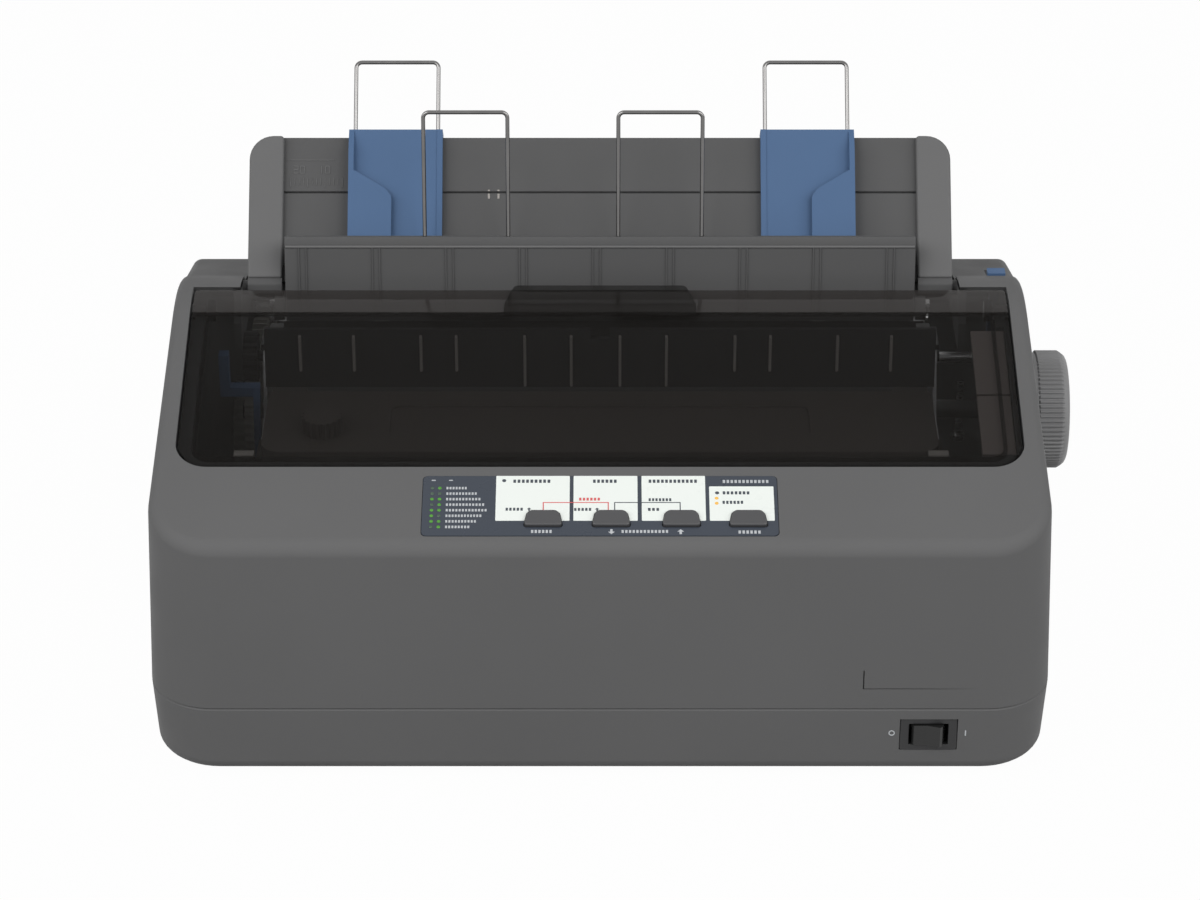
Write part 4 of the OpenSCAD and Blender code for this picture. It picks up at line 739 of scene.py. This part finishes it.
def bay_walls():
    """Side walls of the paper bay, with the cover's hinge blocks."""
    back = BACK_Y - 2
    upper, _ = top_band(LID_BACK_Y, back, -0.6, 0)
    outline = [p for p in upper if p[1] >= BAY_SILL] + [Vector((y, BAY_SILL)) for y in (back, LID_BACK_Y)]
    walls = solid(*[prism(outline, *outward(side, BAY_HALF, BAY_HALF + BAY_WALL), "yz") for side in (-1, 1)])
    swing_room(walls)
    y, z = LID_PIVOT
    for side in (-1, 1):
        x0, x1 = outward(side, LID_HALF_W - LID_SEAT + 0.3, HALF_W - 5)
        seat = block((x0, x1), (y - 4.5, y + 3), (z - 5, z))
        join(walls, seat, prism(circle_outline(y, z, 3), x0 + 2 * NIP, x1 - 2 * NIP, "yz"))
    finished(walls, "bay_walls", CASING, "chassis")


def lower_casing():
    shell = solid(lower_solid(0, SEAM_H))
    cut(shell, lower_solid(WALL, SEAM_H + 3))
    x, y, z = SWITCH
    w, h = BEZEL
    cut(shell, block(about(x, w / 2 - 1), (FRONT_Y - 1, FRONT_Y + 14), about(z, h / 2 - 1)),
        block(about(x, w / 2 + 0.2), (FRONT_Y - 3, y), about(z, h / 2 + 0.2)))
    for x, width, height in REAR_SOCKETS:
        cut(shell, block(about(x, width / 2 + 0.2), (BACK_Y - 8, BACK_Y + 1), (SOCKET_Z, SEAM_H + 1)))
    floor = (FOOT_H - 1, FOOT_H + WALL + 1)
    slots = [block((x, x + 3), (30, 70), floor) for x in range(-140, -70, 7)]
    combine(shell, solid(*slots), "DIFFERENCE")
    soften(shell, 0.5, 2)
    finished(shell, "lower_casing", CASING, "chassis", replaces=["lower_case"])


# -------- cover


def cover_part(y0, y1):
    """Part of the cover between two places along Y."""
    part = clipped(band_prism(HALF_W, y0, y1, 0, LID_T), prism(lid_plan(0), *TALL))
    return soften(part, 0.6, 4)


def cover():
    """The smoked pane with its rear band, painted paler as a painted reflection, and the rim under its edge.
    """
    pane = cover_part(LID_FRONT_Y - 6, CREASE_Y - 0.1)
    finished(pane, "smoked_cover", SMOKED, "cover", replaces=["printer_cover"])
    # The rear band is painted paler: a painted reflection along the crease.
    band = cover_part(CREASE_Y + 0.1, LID_BACK_Y + 3)
    finished(band, "cover_rear_band", PAINTED_REFLECTION_STRIP, "cover")
    rim = band_prism(LID_HALF_W, LID_FRONT_Y - 2, LID_PIVOT[0] - 10, -LID_T + 0.2, LID_T + 1.6)
    rim = clipped(rim, prism(lid_plan(-LID_SEAT - 0.5), *TALL))
    cut(rim, prism(lid_plan(-LID_SEAT - 2), *TALLER))
    finished(rim, "cover_rim", SMOKED, "cover")


def cover_fittings():
    """Two tabs behind the front edge, and the hinge arms with their pins."""
    tabs = band_prism(HALF_W, LID_FRONT_Y + 7.4, LID_FRONT_Y + 10.2, -LID_T - 0.05, LID_T + 1.2)
    tabs = clipped(tabs, *[block(about(x, 4), (FRONT_Y, 0), TALL) for x in TAB_XS])
    finished(soften(tabs, 0.3, 2), "cover_tabs", RIBBED, "cover")
    arms = []
    y, z = LID_PIVOT
    inner = LID_HALF_W - LID_SEAT
    for side in (-1, 1):
        arms.append(block(outward(side, inner - 4, inner - 0.4), about(y, 3), (z - 3, CREST[1] - 4.6)))
        arms.append(prism(circle_outline(y, z, 1.6), *outward(side, inner - 3, LID_HALF_W), "yz"))
    finished(soften(solid(*arms), 0.3, 2), "cover_hinge_arms", SMOKED, "cover")


def cover_grip():
    front = LID_BACK_Y - GRIP_LEN
    plan = [(-GRIP_HALF_W - 5, front), (GRIP_HALF_W + 5, front),
            (GRIP_HALF_W, LID_BACK_Y - 1), (-GRIP_HALF_W, LID_BACK_Y - 1)]
    plan = prism(fillet(plan, [2, 2, 2.5, 2.5]), *TALL)
    grip = clipped(band_prism(60, front - 1, LID_BACK_Y - 0.5, GRIP_H, 2 * NIP), plan)
    top = CREST[1]
    wedge = [(front, top - 12), (LID_BACK_Y, top - 12), (LID_BACK_Y, top + 9), (LID_BACK_Y - 5, top + 9),
             (front, top - 5)]
    combine(grip, solid(prism(wedge, -60, 60, "yz")), "INTERSECT")
    finished(soften(grip, 0.6, 3), "cover_grip", SMOKED, "cover")


# -------- sheet guide and flap


# Strokes of plain numerals, as (x0, z0, x1, z1) in shares of their width and height
STROKES = {
    "0": ((0, 0, 1, 0), (0, 1, 1, 1), (0, 0, 0, 1), (1, 0, 1, 1)),
    "1": ((0.5, 0, 0.5, 1),),
    "2": ((0, 1, 1, 1), (1, 0.5, 1, 1), (0, 0.5, 1, 0.5), (0, 0, 0, 0.5), (0, 0, 1, 0)),
}
NUMERAL = (1.7, 3.0)
PEN = 0.16
RAISED = (-0.25, 0.2)


def numeral(sign, x, z):
    w, h = NUMERAL
    return [block((x + w * a - PEN, x + w * c + PEN), RAISED, (z + h * b - PEN, z + h * d + PEN))
            for a, b, c, d in STROKES[sign]]


def guide_ruler():
    """Raised scale at the left of the guide: a rule, numbers and ticks, every fourth one longer."""
    rule = solid(block(RULER_X, RAISED, about(46.8, 0.15)))
    for text, x in (("20", -127.6), ("10", -117.0)):
        for i, sign in enumerate(text):
            join(rule, *numeral(sign, x + 2.6 * i, 41.2))
    for i in range(TICKS):
        foot = 36.2 if i % 4 else 35.2
        join(rule, block(about(RULER_X[0] + 1 + TICK_PITCH * i, 0.15), RAISED, (foot, 39.2)))
    finished(rule, "guide_ruler", COLUMN, "guide", GUIDE, weighted=False)


def sheet_guide():
    w = GUIDE_HALF_W
    inner = w - COLUMN_W
    corners = [(-w + 1, 2), (w - 1, 2), (w - 1, GUIDE_LEN), (-w + 1, GUIDE_LEN)]
    plate = solid(prism(fillet(corners, [1, 1, GUIDE_TOP_R, GUIDE_TOP_R], 8), 0, GUIDE_T, "xz"))
    cut(plate, block(about(0, inner), (-1, 1.6), about(GROOVE_Z, GROOVE_H / 2)))
    for side in (-1, 1):
        join(plate, block(outward(side, inner - 7, w - 2), (0.5, 3.5), (-5, 2 + 2 * NIP)))
    soften(plate, 0.4, 3)
    finished(plate, "guide_plate", GUIDING, "guide", GUIDE, replaces=["sheet_guide"])
    columns = []
    for side in (-1, 1):
        x0, x1 = side * inner, side * w
        corners = [(x0, -4), (x1, -4), (x1, GUIDE_LEN + 0.2), (x0, GUIDE_LEN + 0.2)]
        columns.append(prism(fillet(corners, [1, 1, GUIDE_TOP_R, 1.5], 8), -3, GUIDE_T + 2 * NIP, "xz"))
    columns = soften(solid(*columns), 1.0, 4)
    finished(columns, "guide_columns", COLUMN, "guide", GUIDE)
    # Two pairs of nubs, above and below the groove
    nubs = solid(*[block(about(x, 0.45), (-0.2, 0.5), rows) for x in NUB_XS
                   for rows in ((GROOVE_Z + 0.5, GROOVE_Z + 1.2), (GROOVE_Z - 2.7, GROOVE_Z - 0.5))])
    finished(soften(nubs, 0.15, 2), "guide_nubs", RIBBED, "guide", GUIDE)


def guide_feet():
    """Feet of the columns, with the pins that the guide and its flap turn on."""
    feet = []
    py, pz = GUIDE_PIVOT
    by, bz = GUIDE_BASE
    fy, fz = FLAP_PIVOT
    w = GUIDE_HALF_W
    web = [(py - 5.4, pz), (py - 3, pz - 4.6), (py + 3, pz - 4.6), (py + 5.4, pz), (by + 5, bz + 1),
           (by + 0.5, bz + 1), (py - 4.6, pz + 4)]
    web = fillet(web, [2, 2, 2, 2, 1, 1, 2])
    ear = ((fy - 1.4, fz + 1.6), (fy + 1.6, fz - 1.6), (py + 3, pz - 3), (py + 3, pz + 4))
    for side in (-1, 1):
        x0, x1 = outward(side, FLAP_HALF_W + 0.5, FLAP_HALF_W + 5)
        feet += [prism(web, *outward(side, w - COLUMN_W, w), "yz"),
                 prism(circle_outline(py, pz, 3), *outward(side, w - 1, BAY_HALF + 2), "yz"),
                 prism(circle_outline(fy, fz, 2.4), x0, x1, "yz"),
                 prism(ear, x0 + 2 * NIP, x1 - 2 * NIP, "yz")]
    finished(soften(solid(*feet), 0.3, 2), "guide_feet", GUIDING, "guide")


def flap():
    """Plate with a lip, double ribs in front and clips for the front wires behind."""
    w, top = FLAP_HALF_W, FLAP_LEN
    profile = [(-1, -2.6), (1, -2.6), (1, top - 0.3), (2.6, top + 3.6), (0.8, top + 3.6), (-1, top)]
    plate = solid(prism(profile, -w, w, "yz"))
    rib_xs = [RIB_MIDDLE + i * RIB_PITCH + side * RIB_GAP / 2 for i in range(-4, 5) for side in (-1, 1)]
    leg_xs = [x + side * WIRE_W / 2 for x in FRONT_WIRES for side in (-1, 1)]
    ribs = [block(about(x, RIB_W / 2), (-1.5, -0.9), (1, top - 0.5)) for x in rib_xs]
    clips = [block(about(x, 2), (0.8, 3.8), (4, 16)) for x in leg_xs]
    combine(plate, solid(*ribs), "UNION")
    combine(plate, solid(*clips), "UNION")
    # Pale rod along the flap's top front edge: a painted highlight line.
    ridge = solid(prism(circle_outline(-0.95, top - 0.2, 0.55, 16), -w + 0.3, w - 0.3, "yz"))
    finished(ridge, "flap_edge_highlight", COLUMN, "flap", FLAP, weighted=False)
    bores = [prism(circle_outline(x, FRONT_WIRE_D, WIRE_R + WIRE_PLAY, 20), -5, 55) for x in leg_xs]
    combine(plate, solid(*bores), "DIFFERENCE")
    join(plate, prism(circle_outline(0, 0, 1.2, 24), -w - 3.5, w + 3.5, "yz"))
    soften(plate, 0.2, 2)
    finished(plate, "guide_flap", GUIDING, "flap", FLAP, replaces=["sheet_guide_cover"])


def guide_side(side):
    """Frame of the left or the right edge guide, which both stand a little to the right."""
    return Matrix.Translation((EDGE_SHIFT, 0, 0)) @ GUIDE @ Matrix.Diagonal((side, 1, 1, 1))


def edge_guide(side, body, node):
    """Sliding plate with a wall at its outer edge, a hook over the guide and a tongue in its groove."""
    out, inner, top = EDGE_GUIDE_X, EDGE_GUIDE_X - EDGE_GUIDE_W, GUIDE_LEN + 2.7
    face, wall_d, back = -EDGE_PLATE_D, -EDGE_WALL_D, GUIDE_T + 2.2
    shape = solid(block((inner, out), (face, -0.3), (3, top)))
    wall = [(-0.4, 6), (wall_d, 6), (wall_d, top - 9), (face - 2 * NIP, top - NIP), (-0.4, top - NIP)]
    join(shape, prism(wall, out - 2.2, out - NIP, "yz"))
    lip = [(out - 2 * NIP, 6 + NIP), (out - 2 * NIP, 41.6), (out - 2.2, 41.2), (out - 15.5, 33.2),
           (out - 18, 30), (out - 18, 6 + NIP)]
    join(shape, prism(fillet(lip, [0, 0, 2, 3, 3, 0]), wall_d + NIP, wall_d + 1.6, "xz"))
    # Hook, tongue, and a low rib along the inner edge
    join(shape, block((inner + NIP, out - NIP), (face + NIP, back), (GUIDE_LEN + 0.3, top - 2 * NIP)))
    join(shape, block((inner + 6, out - 6), (GUIDE_T + 0.3, back - NIP), (GUIDE_LEN - 6, top - 3 * NIP)))
    join(shape, block((inner + 8, out - 8), (-0.4, 1.3), about(GROOVE_Z, 0.35)))
    join(shape, block((inner + NIP, inner + 2.3), (face - 0.35, -1), (3 + NIP, top - 3 * NIP)))
    # Bores of the wire's legs
    x, y = REAR_WIRE
    for leg in about(x, WIRE_W / 2):
        cut(shape, prism(circle_outline(leg, y, WIRE_R + WIRE_PLAY, 20), 4, top + 4))
    soften(shape, 0.3, 2)
    finished(shape, "edge_guide_" + body, BLUE, body, guide_side(side), replaces=[node])


def wire(x, y, ends, where, body, node):
    """Chrome wire bent to a loop with two legs, whose ends give its lowest and its highest place."""
    w = WIRE_W / 2
    low, high = ends
    corners = [(-w, low), (-w, high), (w, high), (w, low)]
    bends = fillet(corners, [0, WIRE_BEND, WIRE_BEND, 0], 9, closed=False)
    path = [Vector((x + p[0], y, p[1])) for p in bends]
    loop = solid(tube(path, WIRE_R))
    finished(loop, "wire_" + body, CHROME, body, where, replaces=[node], weighted=False)


# -------- eject cover

# Place of each rib from the middle, and its lower end
EJECT_RIBS = ((10, 113), (29, 113), (57, 120), (71.5, 120), (99, 120), (121, 120))
EJECT_MIDDLE = -1.8
EJECT_Z = (112.3, 138.0)


def eject_cover():
    """Leaning plate over the paper exit, with an arm at each end and pale ribs."""
    w = FRAME_HALF - 0.5
    low, high = EJECT_Z
    profile = [(-14, low), (-12, low), (-10, high), (-12, high)]
    plate = solid(prism(profile, -w, w, "yz"))
    cut(plate, block(about(0, 4), (-20, 0), (134, 139)))
    for side in (-1, 1):
        join(plate, block(outward(side, w - 5.5, w - NIP), (-12.6, 20), (120, 124)))
        join(plate, block(outward(side, w - 5.4, w + 3), (4, 19.9), (120 + NIP, 122.4)))
    soften(plate, 0.3, 2)
    finished(plate, "eject_plate", BLACK, "chassis", replaces=["eject_cover"])
    ribs = [block(about(EJECT_MIDDLE + side * x, 0.55), (-15, -12.7), (foot, high - 2))
            for x, foot in EJECT_RIBS for side in (-1, 1)]
    finished(soften(solid(*ribs), 0.3, 2), "eject_ribs", RIBBED, "chassis")


# -------- control panel


def button_outline(x, grow):
    """Outline of the button at x, grown by grow all round."""
    w, h = BUTTON_W / 2 + grow, BUTTON_LEN / 2 + grow
    outline = fillet([(-w, -h), (w, -h), (w - 1.5, h), (-w + 1.5, h)], [1.2, 1.2, 2.4, 2.4], 6)
    return [p + Vector((x, BUTTON_Y)) for p in outline]


FILM_Z = 0.2
INK_T = 0.06


def panel_film():
    outline = box_outline(*about(0, PANEL_W / 2), PANEL_START, PANEL_START + PANEL_LEN, PANEL_R)
    film = solid(prism(outline, -PANEL_T, FILM_Z))
    for x in BUTTON_XS:
        cut(film, prism(button_outline(x, 0.3), -2, 3))
    soften(film, 0.1, 2)
    finished(film, "panel_film", INK_FILM, "chassis", SLOPE, replaces=["panel_overlay"])


def ink(name, outlines, material, level=0):
    """Printed marks as thin flat pieces on the film."""
    low = FILM_Z + level * INK_T
    marks = solid(*[prism(outline, low, low + INK_T) for outline in outlines])
    finished(marks, name, material, "chassis", SLOPE, weighted=False)


def line(points, width):
    """Outline of a polyline with square ends, for lines that only turn by right angles."""
    left, right = [], []
    for i, p in enumerate(points):
        p = Vector(p)
        before = (p - Vector(points[i - 1])).normalized() if i else None
        after = (Vector(points[i + 1]) - p).normalized() if i < len(points) - 1 else None
        a, b = before or after, after or before
        n = Vector((-a.y, a.x)) + Vector((-b.y, b.x))
        n = n / (1 + a.dot(b)) * width / 2
        left.append(p + n)
        right.append(p - n)
    return left + right[::-1]


def arrow(x, y, size, up=True):
    s = 1 if up else -1
    points = [(-0.18, -0.5), (0.18, -0.5), (0.18, 0), (0.5, 0), (0, 0.5), (-0.5, 0), (-0.18, 0)]
    return [Vector((x + size * px, y + s * size * py)) for px, py in points]


def bar(x0, x1, y, h):
    return box_outline(x0, x1, y - h / 2, y + h / 2, h * 0.3, 2)


# White fields as (x0, x1, y0, y1), and where the lamps and the rows beside them are
FIELDS = ((-40.5, -11.8, 13.9, 38), (-10.3, 14.6, 13.9, 38), (16.2, 41, 13.9, 38), (42.5, 67.6, 13.9, 32.3))
LAMP_XS = (-65.3, -62.4)
LAMP_YS = [31.4 - 2.97 * i for i in range(8)]
DIM_LAMPS = ((0, 0), (0, 1), (1, 1), (0, 3), (1, 5), (0, 7))
LABEL_X = -59.8
LABEL_ENDS = (-51.5, -47.5, -46, -44.5, -43.5, -45.5, -47.5, -50)
LAMP_R = 0.75
AMBER_LAMPS = ((45.3, 25.9), (45.3, 23.2))

# Rows of plain blocks where the panel has its words: (x0, x1, y, height)
DARK_ROWS = ((-33.8, -18.8, 35.1, 1.7), (-36.6, -29.4, 20, 1.5), (-2.7, 7.1, 35.1, 1.7),
             (-10, -2.9, 19.9, 1.5), (19, 38.4, 35.1, 1.7), (18.9, 28.2, 25.1, 1.5),
             (18.6, 23.5, 19.9, 1.5), (47.8, 58.7, 28.8, 1.6), (47.6, 56.1, 23.7, 1.6))
PALE_ROWS = ((-26.6, -18.1, 8.2, 1.6), (8.3, 26.8, 8.2, 1.5), (53.4, 62.5, 7.9, 1.6), (47.9, 66.3, 35, 1.6))


def blocks(x0, x1, y, h):
    """Row of small plain blocks, as wide apart as letters."""
    pitch = h * 0.95
    count = max(1, round((x1 - x0) / pitch))
    step = (x1 - x0) / count
    return [box_outline(x0 + i * step, x0 + (i + 0.62) * step, y - h / 2, y + h / 2) for i in range(count)]


def bracket(x0, x1):
    """Thin line up from one button, across and down to the next."""
    return line([(x0, 18.8), (x0, 23.6), (x1, 23.6), (x1, 18.8)], 0.4)


def panel_print():
    fields = [box_outline(*field, 0.3, 2) for field in FIELDS]
    white = solid(*[prism(outline, FILM_Z, FILM_Z + INK_T) for outline in fields])
    for x in BUTTON_XS:
        cut(white, prism(button_outline(x, 0.35), -1, 3))
    finished(white, "panel_fields", WHITE_FILM, "chassis", SLOPE, weighted=False)
    dark = [outline for row in DARK_ROWS for outline in blocks(*row)]
    dark += [arrow(-27.5, 20, 1.8), arrow(-1.1, 19.9, 1.8), bracket(5.7, 31.1)]
    dark += [circle_outline(x, y, 0.8, 20) for x, y in ((-37.4, 35.4), (45.6, 28.8))]
    ink("dark_marks", dark, DARK_INK, 1)
    pale = [outline for row in PALE_ROWS for outline in blocks(*row)]
    for y, end in zip(LAMP_YS, LABEL_ENDS):
        pale += blocks(LABEL_X, end, y, 1.3)
    pale += [bar(x, x + 1.6, 35.6, 0.5) for x in (-65.7, -59)]
    pale += [arrow(4.4, 8.1, 2.6, up=False), arrow(31.1, 8.1, 2.6)]
    ink("pale_marks", pale, PALE_INK)
    ink("red_marks", blocks(-8.1, 0.5, 25.4, 1.5) + [bracket(-22, 3.2)], RED_INK, 1)


def panel_lamps():
    """Two columns of small lamps, some of them dim, and the two amber ones."""
    lit, dim = [], []
    profile = ((LAMP_R, 0.1), (LAMP_R, 0.3), (0.6, 0.42), (0.3, 0.5))
    for column, x in enumerate(LAMP_XS):
        for row, y in enumerate(LAMP_YS):
            dome = loft([[(p[0], p[1], z) for p in circle_outline(x, y, r, 20)] for r, z in profile])
            (dim if (column, row) in DIM_LAMPS else lit).append(dome)
    finished(solid(*lit), "green_lamps", GREEN_LAMP, "chassis", SLOPE,
             replaces=["indicator_lights"], smooth=60)
    finished(solid(*dim), "dim_lamps", DIM_LAMP, "chassis", SLOPE, smooth=60)
    ink("amber_lamps", [circle_outline(x, y, LAMP_R, 20) for x, y in AMBER_LAMPS], AMBER_LAMP, 1)


def buttons():
    for name, x in zip(("font", "feed", "load", "pause"), BUTTON_XS):
        cap = solid(prism(button_outline(x, 0), -3.2, BUTTON_H))
        soften(cap, 0.7, 4)
        join(cap, prism(button_outline(x, 1.6), -4.2, -2.9))
        finished(cap, name + "_key", BUTTON, name, SLOPE, replaces=[name + "_button"])


# -------- power switch and knob


def power_switch():
    """Bezel of the rocker, with its socket behind the casing's wall."""
    x, y, z = SWITCH
    w, h = BEZEL[0] / 2, BEZEL[1] / 2
    body = solid(prism(box_outline(*about(x, w), *about(z, h), 1), y - 1.6, y, "xz"))
    join(body, block(about(x, w - 1.3), (y - 0.5, y + 19), about(z, h - 1.3)))
    cut(body, block(about(x, 7.8), (y - 3, y + 9), about(z, h - 2.4)))
    soften(body, 0.35, 3)
    finished(body, "switch_bezel", BLACK, "chassis", replaces=["power_switch_body"])


def switch_marks():
    """The ring and the line beside the rocker."""
    x, _, z = SWITCH
    middle = z + 0.8
    away = 14.6
    front = FRONT_Y + FRONT_LEAN + lower_taper(z)
    level = (front - 0.2, front + 0.5)
    ring = solid(prism(circle_outline(x - away, middle, 1.25, 28), *level, "xz"))
    cut(ring, prism(circle_outline(x - away, middle, 0.85, 28), front - 1, front + 2, "xz"))
    join(ring, block(about(x + away, 0.25), level, about(middle, 1.25)))
    finished(ring, "switch_marks", PALE_INK, "chassis", weighted=False)


def knob():
    """Hollow-faced wheel, ribbed round its middle."""
    count = KNOB_RIBS * 4
    x0, x1 = KNOB_IN, KNOB_IN + KNOB_LEN
    r0 = KNOB_R
    # Place along the shaft, radius and height of the ribs there
    profile = [(x0, r0 - 6, 0), (x0, r0 - 1.6, 0), (x0 + 0.5, r0 - 1.1, 0), (x0 + 2.4, r0 - 0.9, 0),
               (x0 + 3, r0 - 0.7, 0.7), (x1 - 3.4, r0 - 0.7, 0.7), (x1 - 2.4, r0 - 0.9, 0.3),
               (x1 - 1.6, r0 - 1.2, 0), (x1 - 0.6, r0 - 2, 0), (x1, r0 - 3.2, 0),
               (x1, r0 - 4.8, 0), (x1 - 0.9, r0 - 5.2, 0)]
    y, z = PLATEN
    rings = []
    for x, r, rib in profile:
        ring = []
        for i in range(count):
            a = 2 * math.pi * i / count
            reach = r + (rib if i % 4 in (1, 2) else 0)
            ring.append((x, y + reach * math.cos(a), z + reach * math.sin(a)))
        rings.append(ring)
    wheel = solid(loft(rings))
    finished(wheel, "feed_knob", KNOB, "platen", replaces=["platen_knob"], smooth=28)


# -------- build


SIDES = ((-1, "left"), (1, "right"))

upper_casing()
black_shade_ledge()
opening_plates()
bay_walls()
lower_casing()
cover()
cover_fittings()
cover_grip()
sheet_guide()
guide_ruler()
guide_feet()
flap()
eject_cover()
for side, name in SIDES:
    edge_guide(side, name + "_guide", name + "_edge_guide")
for side, name in SIDES:
    wire(*REAR_WIRE, REAR_WIRE_Z, guide_side(side), "rear_wire_" + name, name + "_rear_wire")
for (_, name), x in zip(SIDES, FRONT_WIRES):
    wire(x, FRONT_WIRE_D, FRONT_WIRE_Z, FLAP, "front_wire_" + name, name + "_front_wire")
panel_film()
panel_print()
panel_lamps()
buttons()
power_switch()
switch_marks()
knob()

# Nodes that keep their CAD shape, under the material of each
CARRIED = (
    (FOOT, ["rubber_feet"]),
    (STEEL, ["case_screws", "gear_studs", "tractor_shaft", "tractor_guide_shaft"]),
    (SHEET_STEEL, ["bottom_plate", "left_side_plate", "right_side_plate", "feed_motor", "carriage_motor",
                   "carriage_rail"]),
    (SHADE_DARKENED_STEEL, ["platen_shaft", "carriage_shaft"]),
    (ALUMINIUM, ["print_head"]),
    (BRASS, ["feed_motor_pinion", "motor_pulley"]),
    (PALE, ["platen_gear", "reduction_gear", "tractor_idler_gear", "left_sprocket", "right_sprocket",
            "idler_pulley"]),
    (BLACK, ["left_tractor", "right_tractor", "left_tractor_gate", "right_tractor_gate", "carriage",
             "paper_guide", "shaft_bearings", "rear_connectors"]),
    (BLACK_GLOSS, ["power_switch_rocker"]),
    (BLUE, ["paper_release_lever", "paper_thickness_lever"]),
    (CARTRIDGE, ["ribbon_cartridge", "ribbon_knob"]),
    (ROLLER, ["platen_roller", "eject_roller"]),
    (BELT, ["timing_belt"]),
    (BOARD, ["panel_board", "circuit_boards"]),
)
for material, nodes in CARRIED:
    for node in nodes:
        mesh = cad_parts[node].data
        mesh.materials.clear()
        mesh.materials.append(material)

# -------- studio


def light_ray(tree):
    """1 for what the camera, a mirror or a see-through piece looks at, else 0."""
    path = tree.nodes.new("ShaderNodeLightPath")
    total = path.outputs["Is Camera Ray"]
    for name in ("Is Glossy Ray", "Is Transmission Ray"):
        add = tree.nodes.new("ShaderNodeMath")
        add.operation = "MAXIMUM"
        tree.links.new(total, add.inputs[0])
        tree.links.new(path.outputs[name], add.inputs[1])
        total = add.outputs["Value"]
    return total


WORLD_FILL = 0.2
FLOOR_HALF = 6.0
FLOOR_COLOUR = (0.48, 0.48, 0.48)
FLOOR_GLOW = 0.98
LAMP_SIZE = 1.2
# Name, place in metres and watts of each lamp; all point at the middle of the casing
LAMPS = (("left_lamp", (-1.05, -1.35, 1.75), 20.5), ("right_lamp", (1.05, -1.35, 1.75), 18.8),
         ("left_side_lamp", (-2.0, -0.7, 1.3), 14), ("right_side_lamp", (2.0, -0.7, 1.3), 15))
LAMP_TARGET = (0, 0, 0.1)


def white_world():
    """World that is white to look at and gives only a little light."""
    world = bpy.data.worlds.new("studio")
    world.use_nodes = True
    tree = world.node_tree
    background = preset(tree.nodes["Background"], {"Color": (1, 1, 1, 1)})
    strength = new_node(tree, "MapRange", {"To Min": WORLD_FILL, "To Max": 1.0})
    tree.links.new(light_ray(tree), strength.inputs["Value"])
    tree.links.new(strength.outputs["Result"], background.inputs["Strength"])
    return world


def white_floor():
    """Floor that looks nearly white and keeps a little of the object's shadow."""
    h = FLOOR_HALF
    mesh = bpy.data.meshes.new("floor")
    mesh.from_pydata([(-h, -h, 0), (h, -h, 0), (h, h, 0), (-h, h, 0)], [], [(0, 1, 2, 3)])
    floor = bpy.data.objects.new("floor", mesh)
    bpy.context.scene.collection.objects.link(floor)
    material, tree, shader = principled("floor_paint", FLOOR_COLOUR, 0.9)
    glow = tree.nodes.new("ShaderNodeEmission")
    mix = tree.nodes.new("ShaderNodeMixShader")
    share = tree.nodes.new("ShaderNodeMath")
    share.operation = "MULTIPLY"
    share.inputs[1].default_value = FLOOR_GLOW
    tree.links.new(light_ray(tree), share.inputs[0])
    tree.links.new(share.outputs["Value"], mix.inputs["Fac"])
    tree.links.new(shader.outputs["BSDF"], mix.inputs[1])
    tree.links.new(glow.outputs["Emission"], mix.inputs[2])
    tree.links.new(mix.outputs["Shader"], tree.nodes["Material Output"].inputs["Surface"])
    mesh.materials.append(material)


def studio():
    scene = bpy.context.scene
    scene.view_settings.view_transform = "Standard"
    scene.world = white_world()
    white_floor()
    for name, place, power in LAMPS:
        data = bpy.data.lights.new(name, "AREA")
        data.size = LAMP_SIZE
        data.energy = power
        lamp_object = bpy.data.objects.new(name, data)
        lamp_object.location = place
        direction = Vector(LAMP_TARGET) - Vector(place)
        lamp_object.rotation_euler = direction.to_track_quat("-Z", "Y").to_euler()
        scene.collection.objects.link(lamp_object)


CAMERA_BACK = 1.39324
CAMERA_UP = 0.87871
CAMERA_LENS = 114.966


def camera():
    """Camera as in the photograph: straight from the front, looking down by 30 degrees."""
    data = bpy.data.cameras.new("camera")
    data.sensor_width = 36
    data.lens = CAMERA_LENS
    data.clip_end = 30
    obj = bpy.data.objects.new("camera", data)
    obj.location = (CASE_X * MM, -CAMERA_BACK, CAMERA_UP)
    obj.rotation_euler = (math.radians(60), 0, 0)
    bpy.context.scene.collection.objects.link(obj)
    bpy.context.scene.camera = obj


studio()
camera()
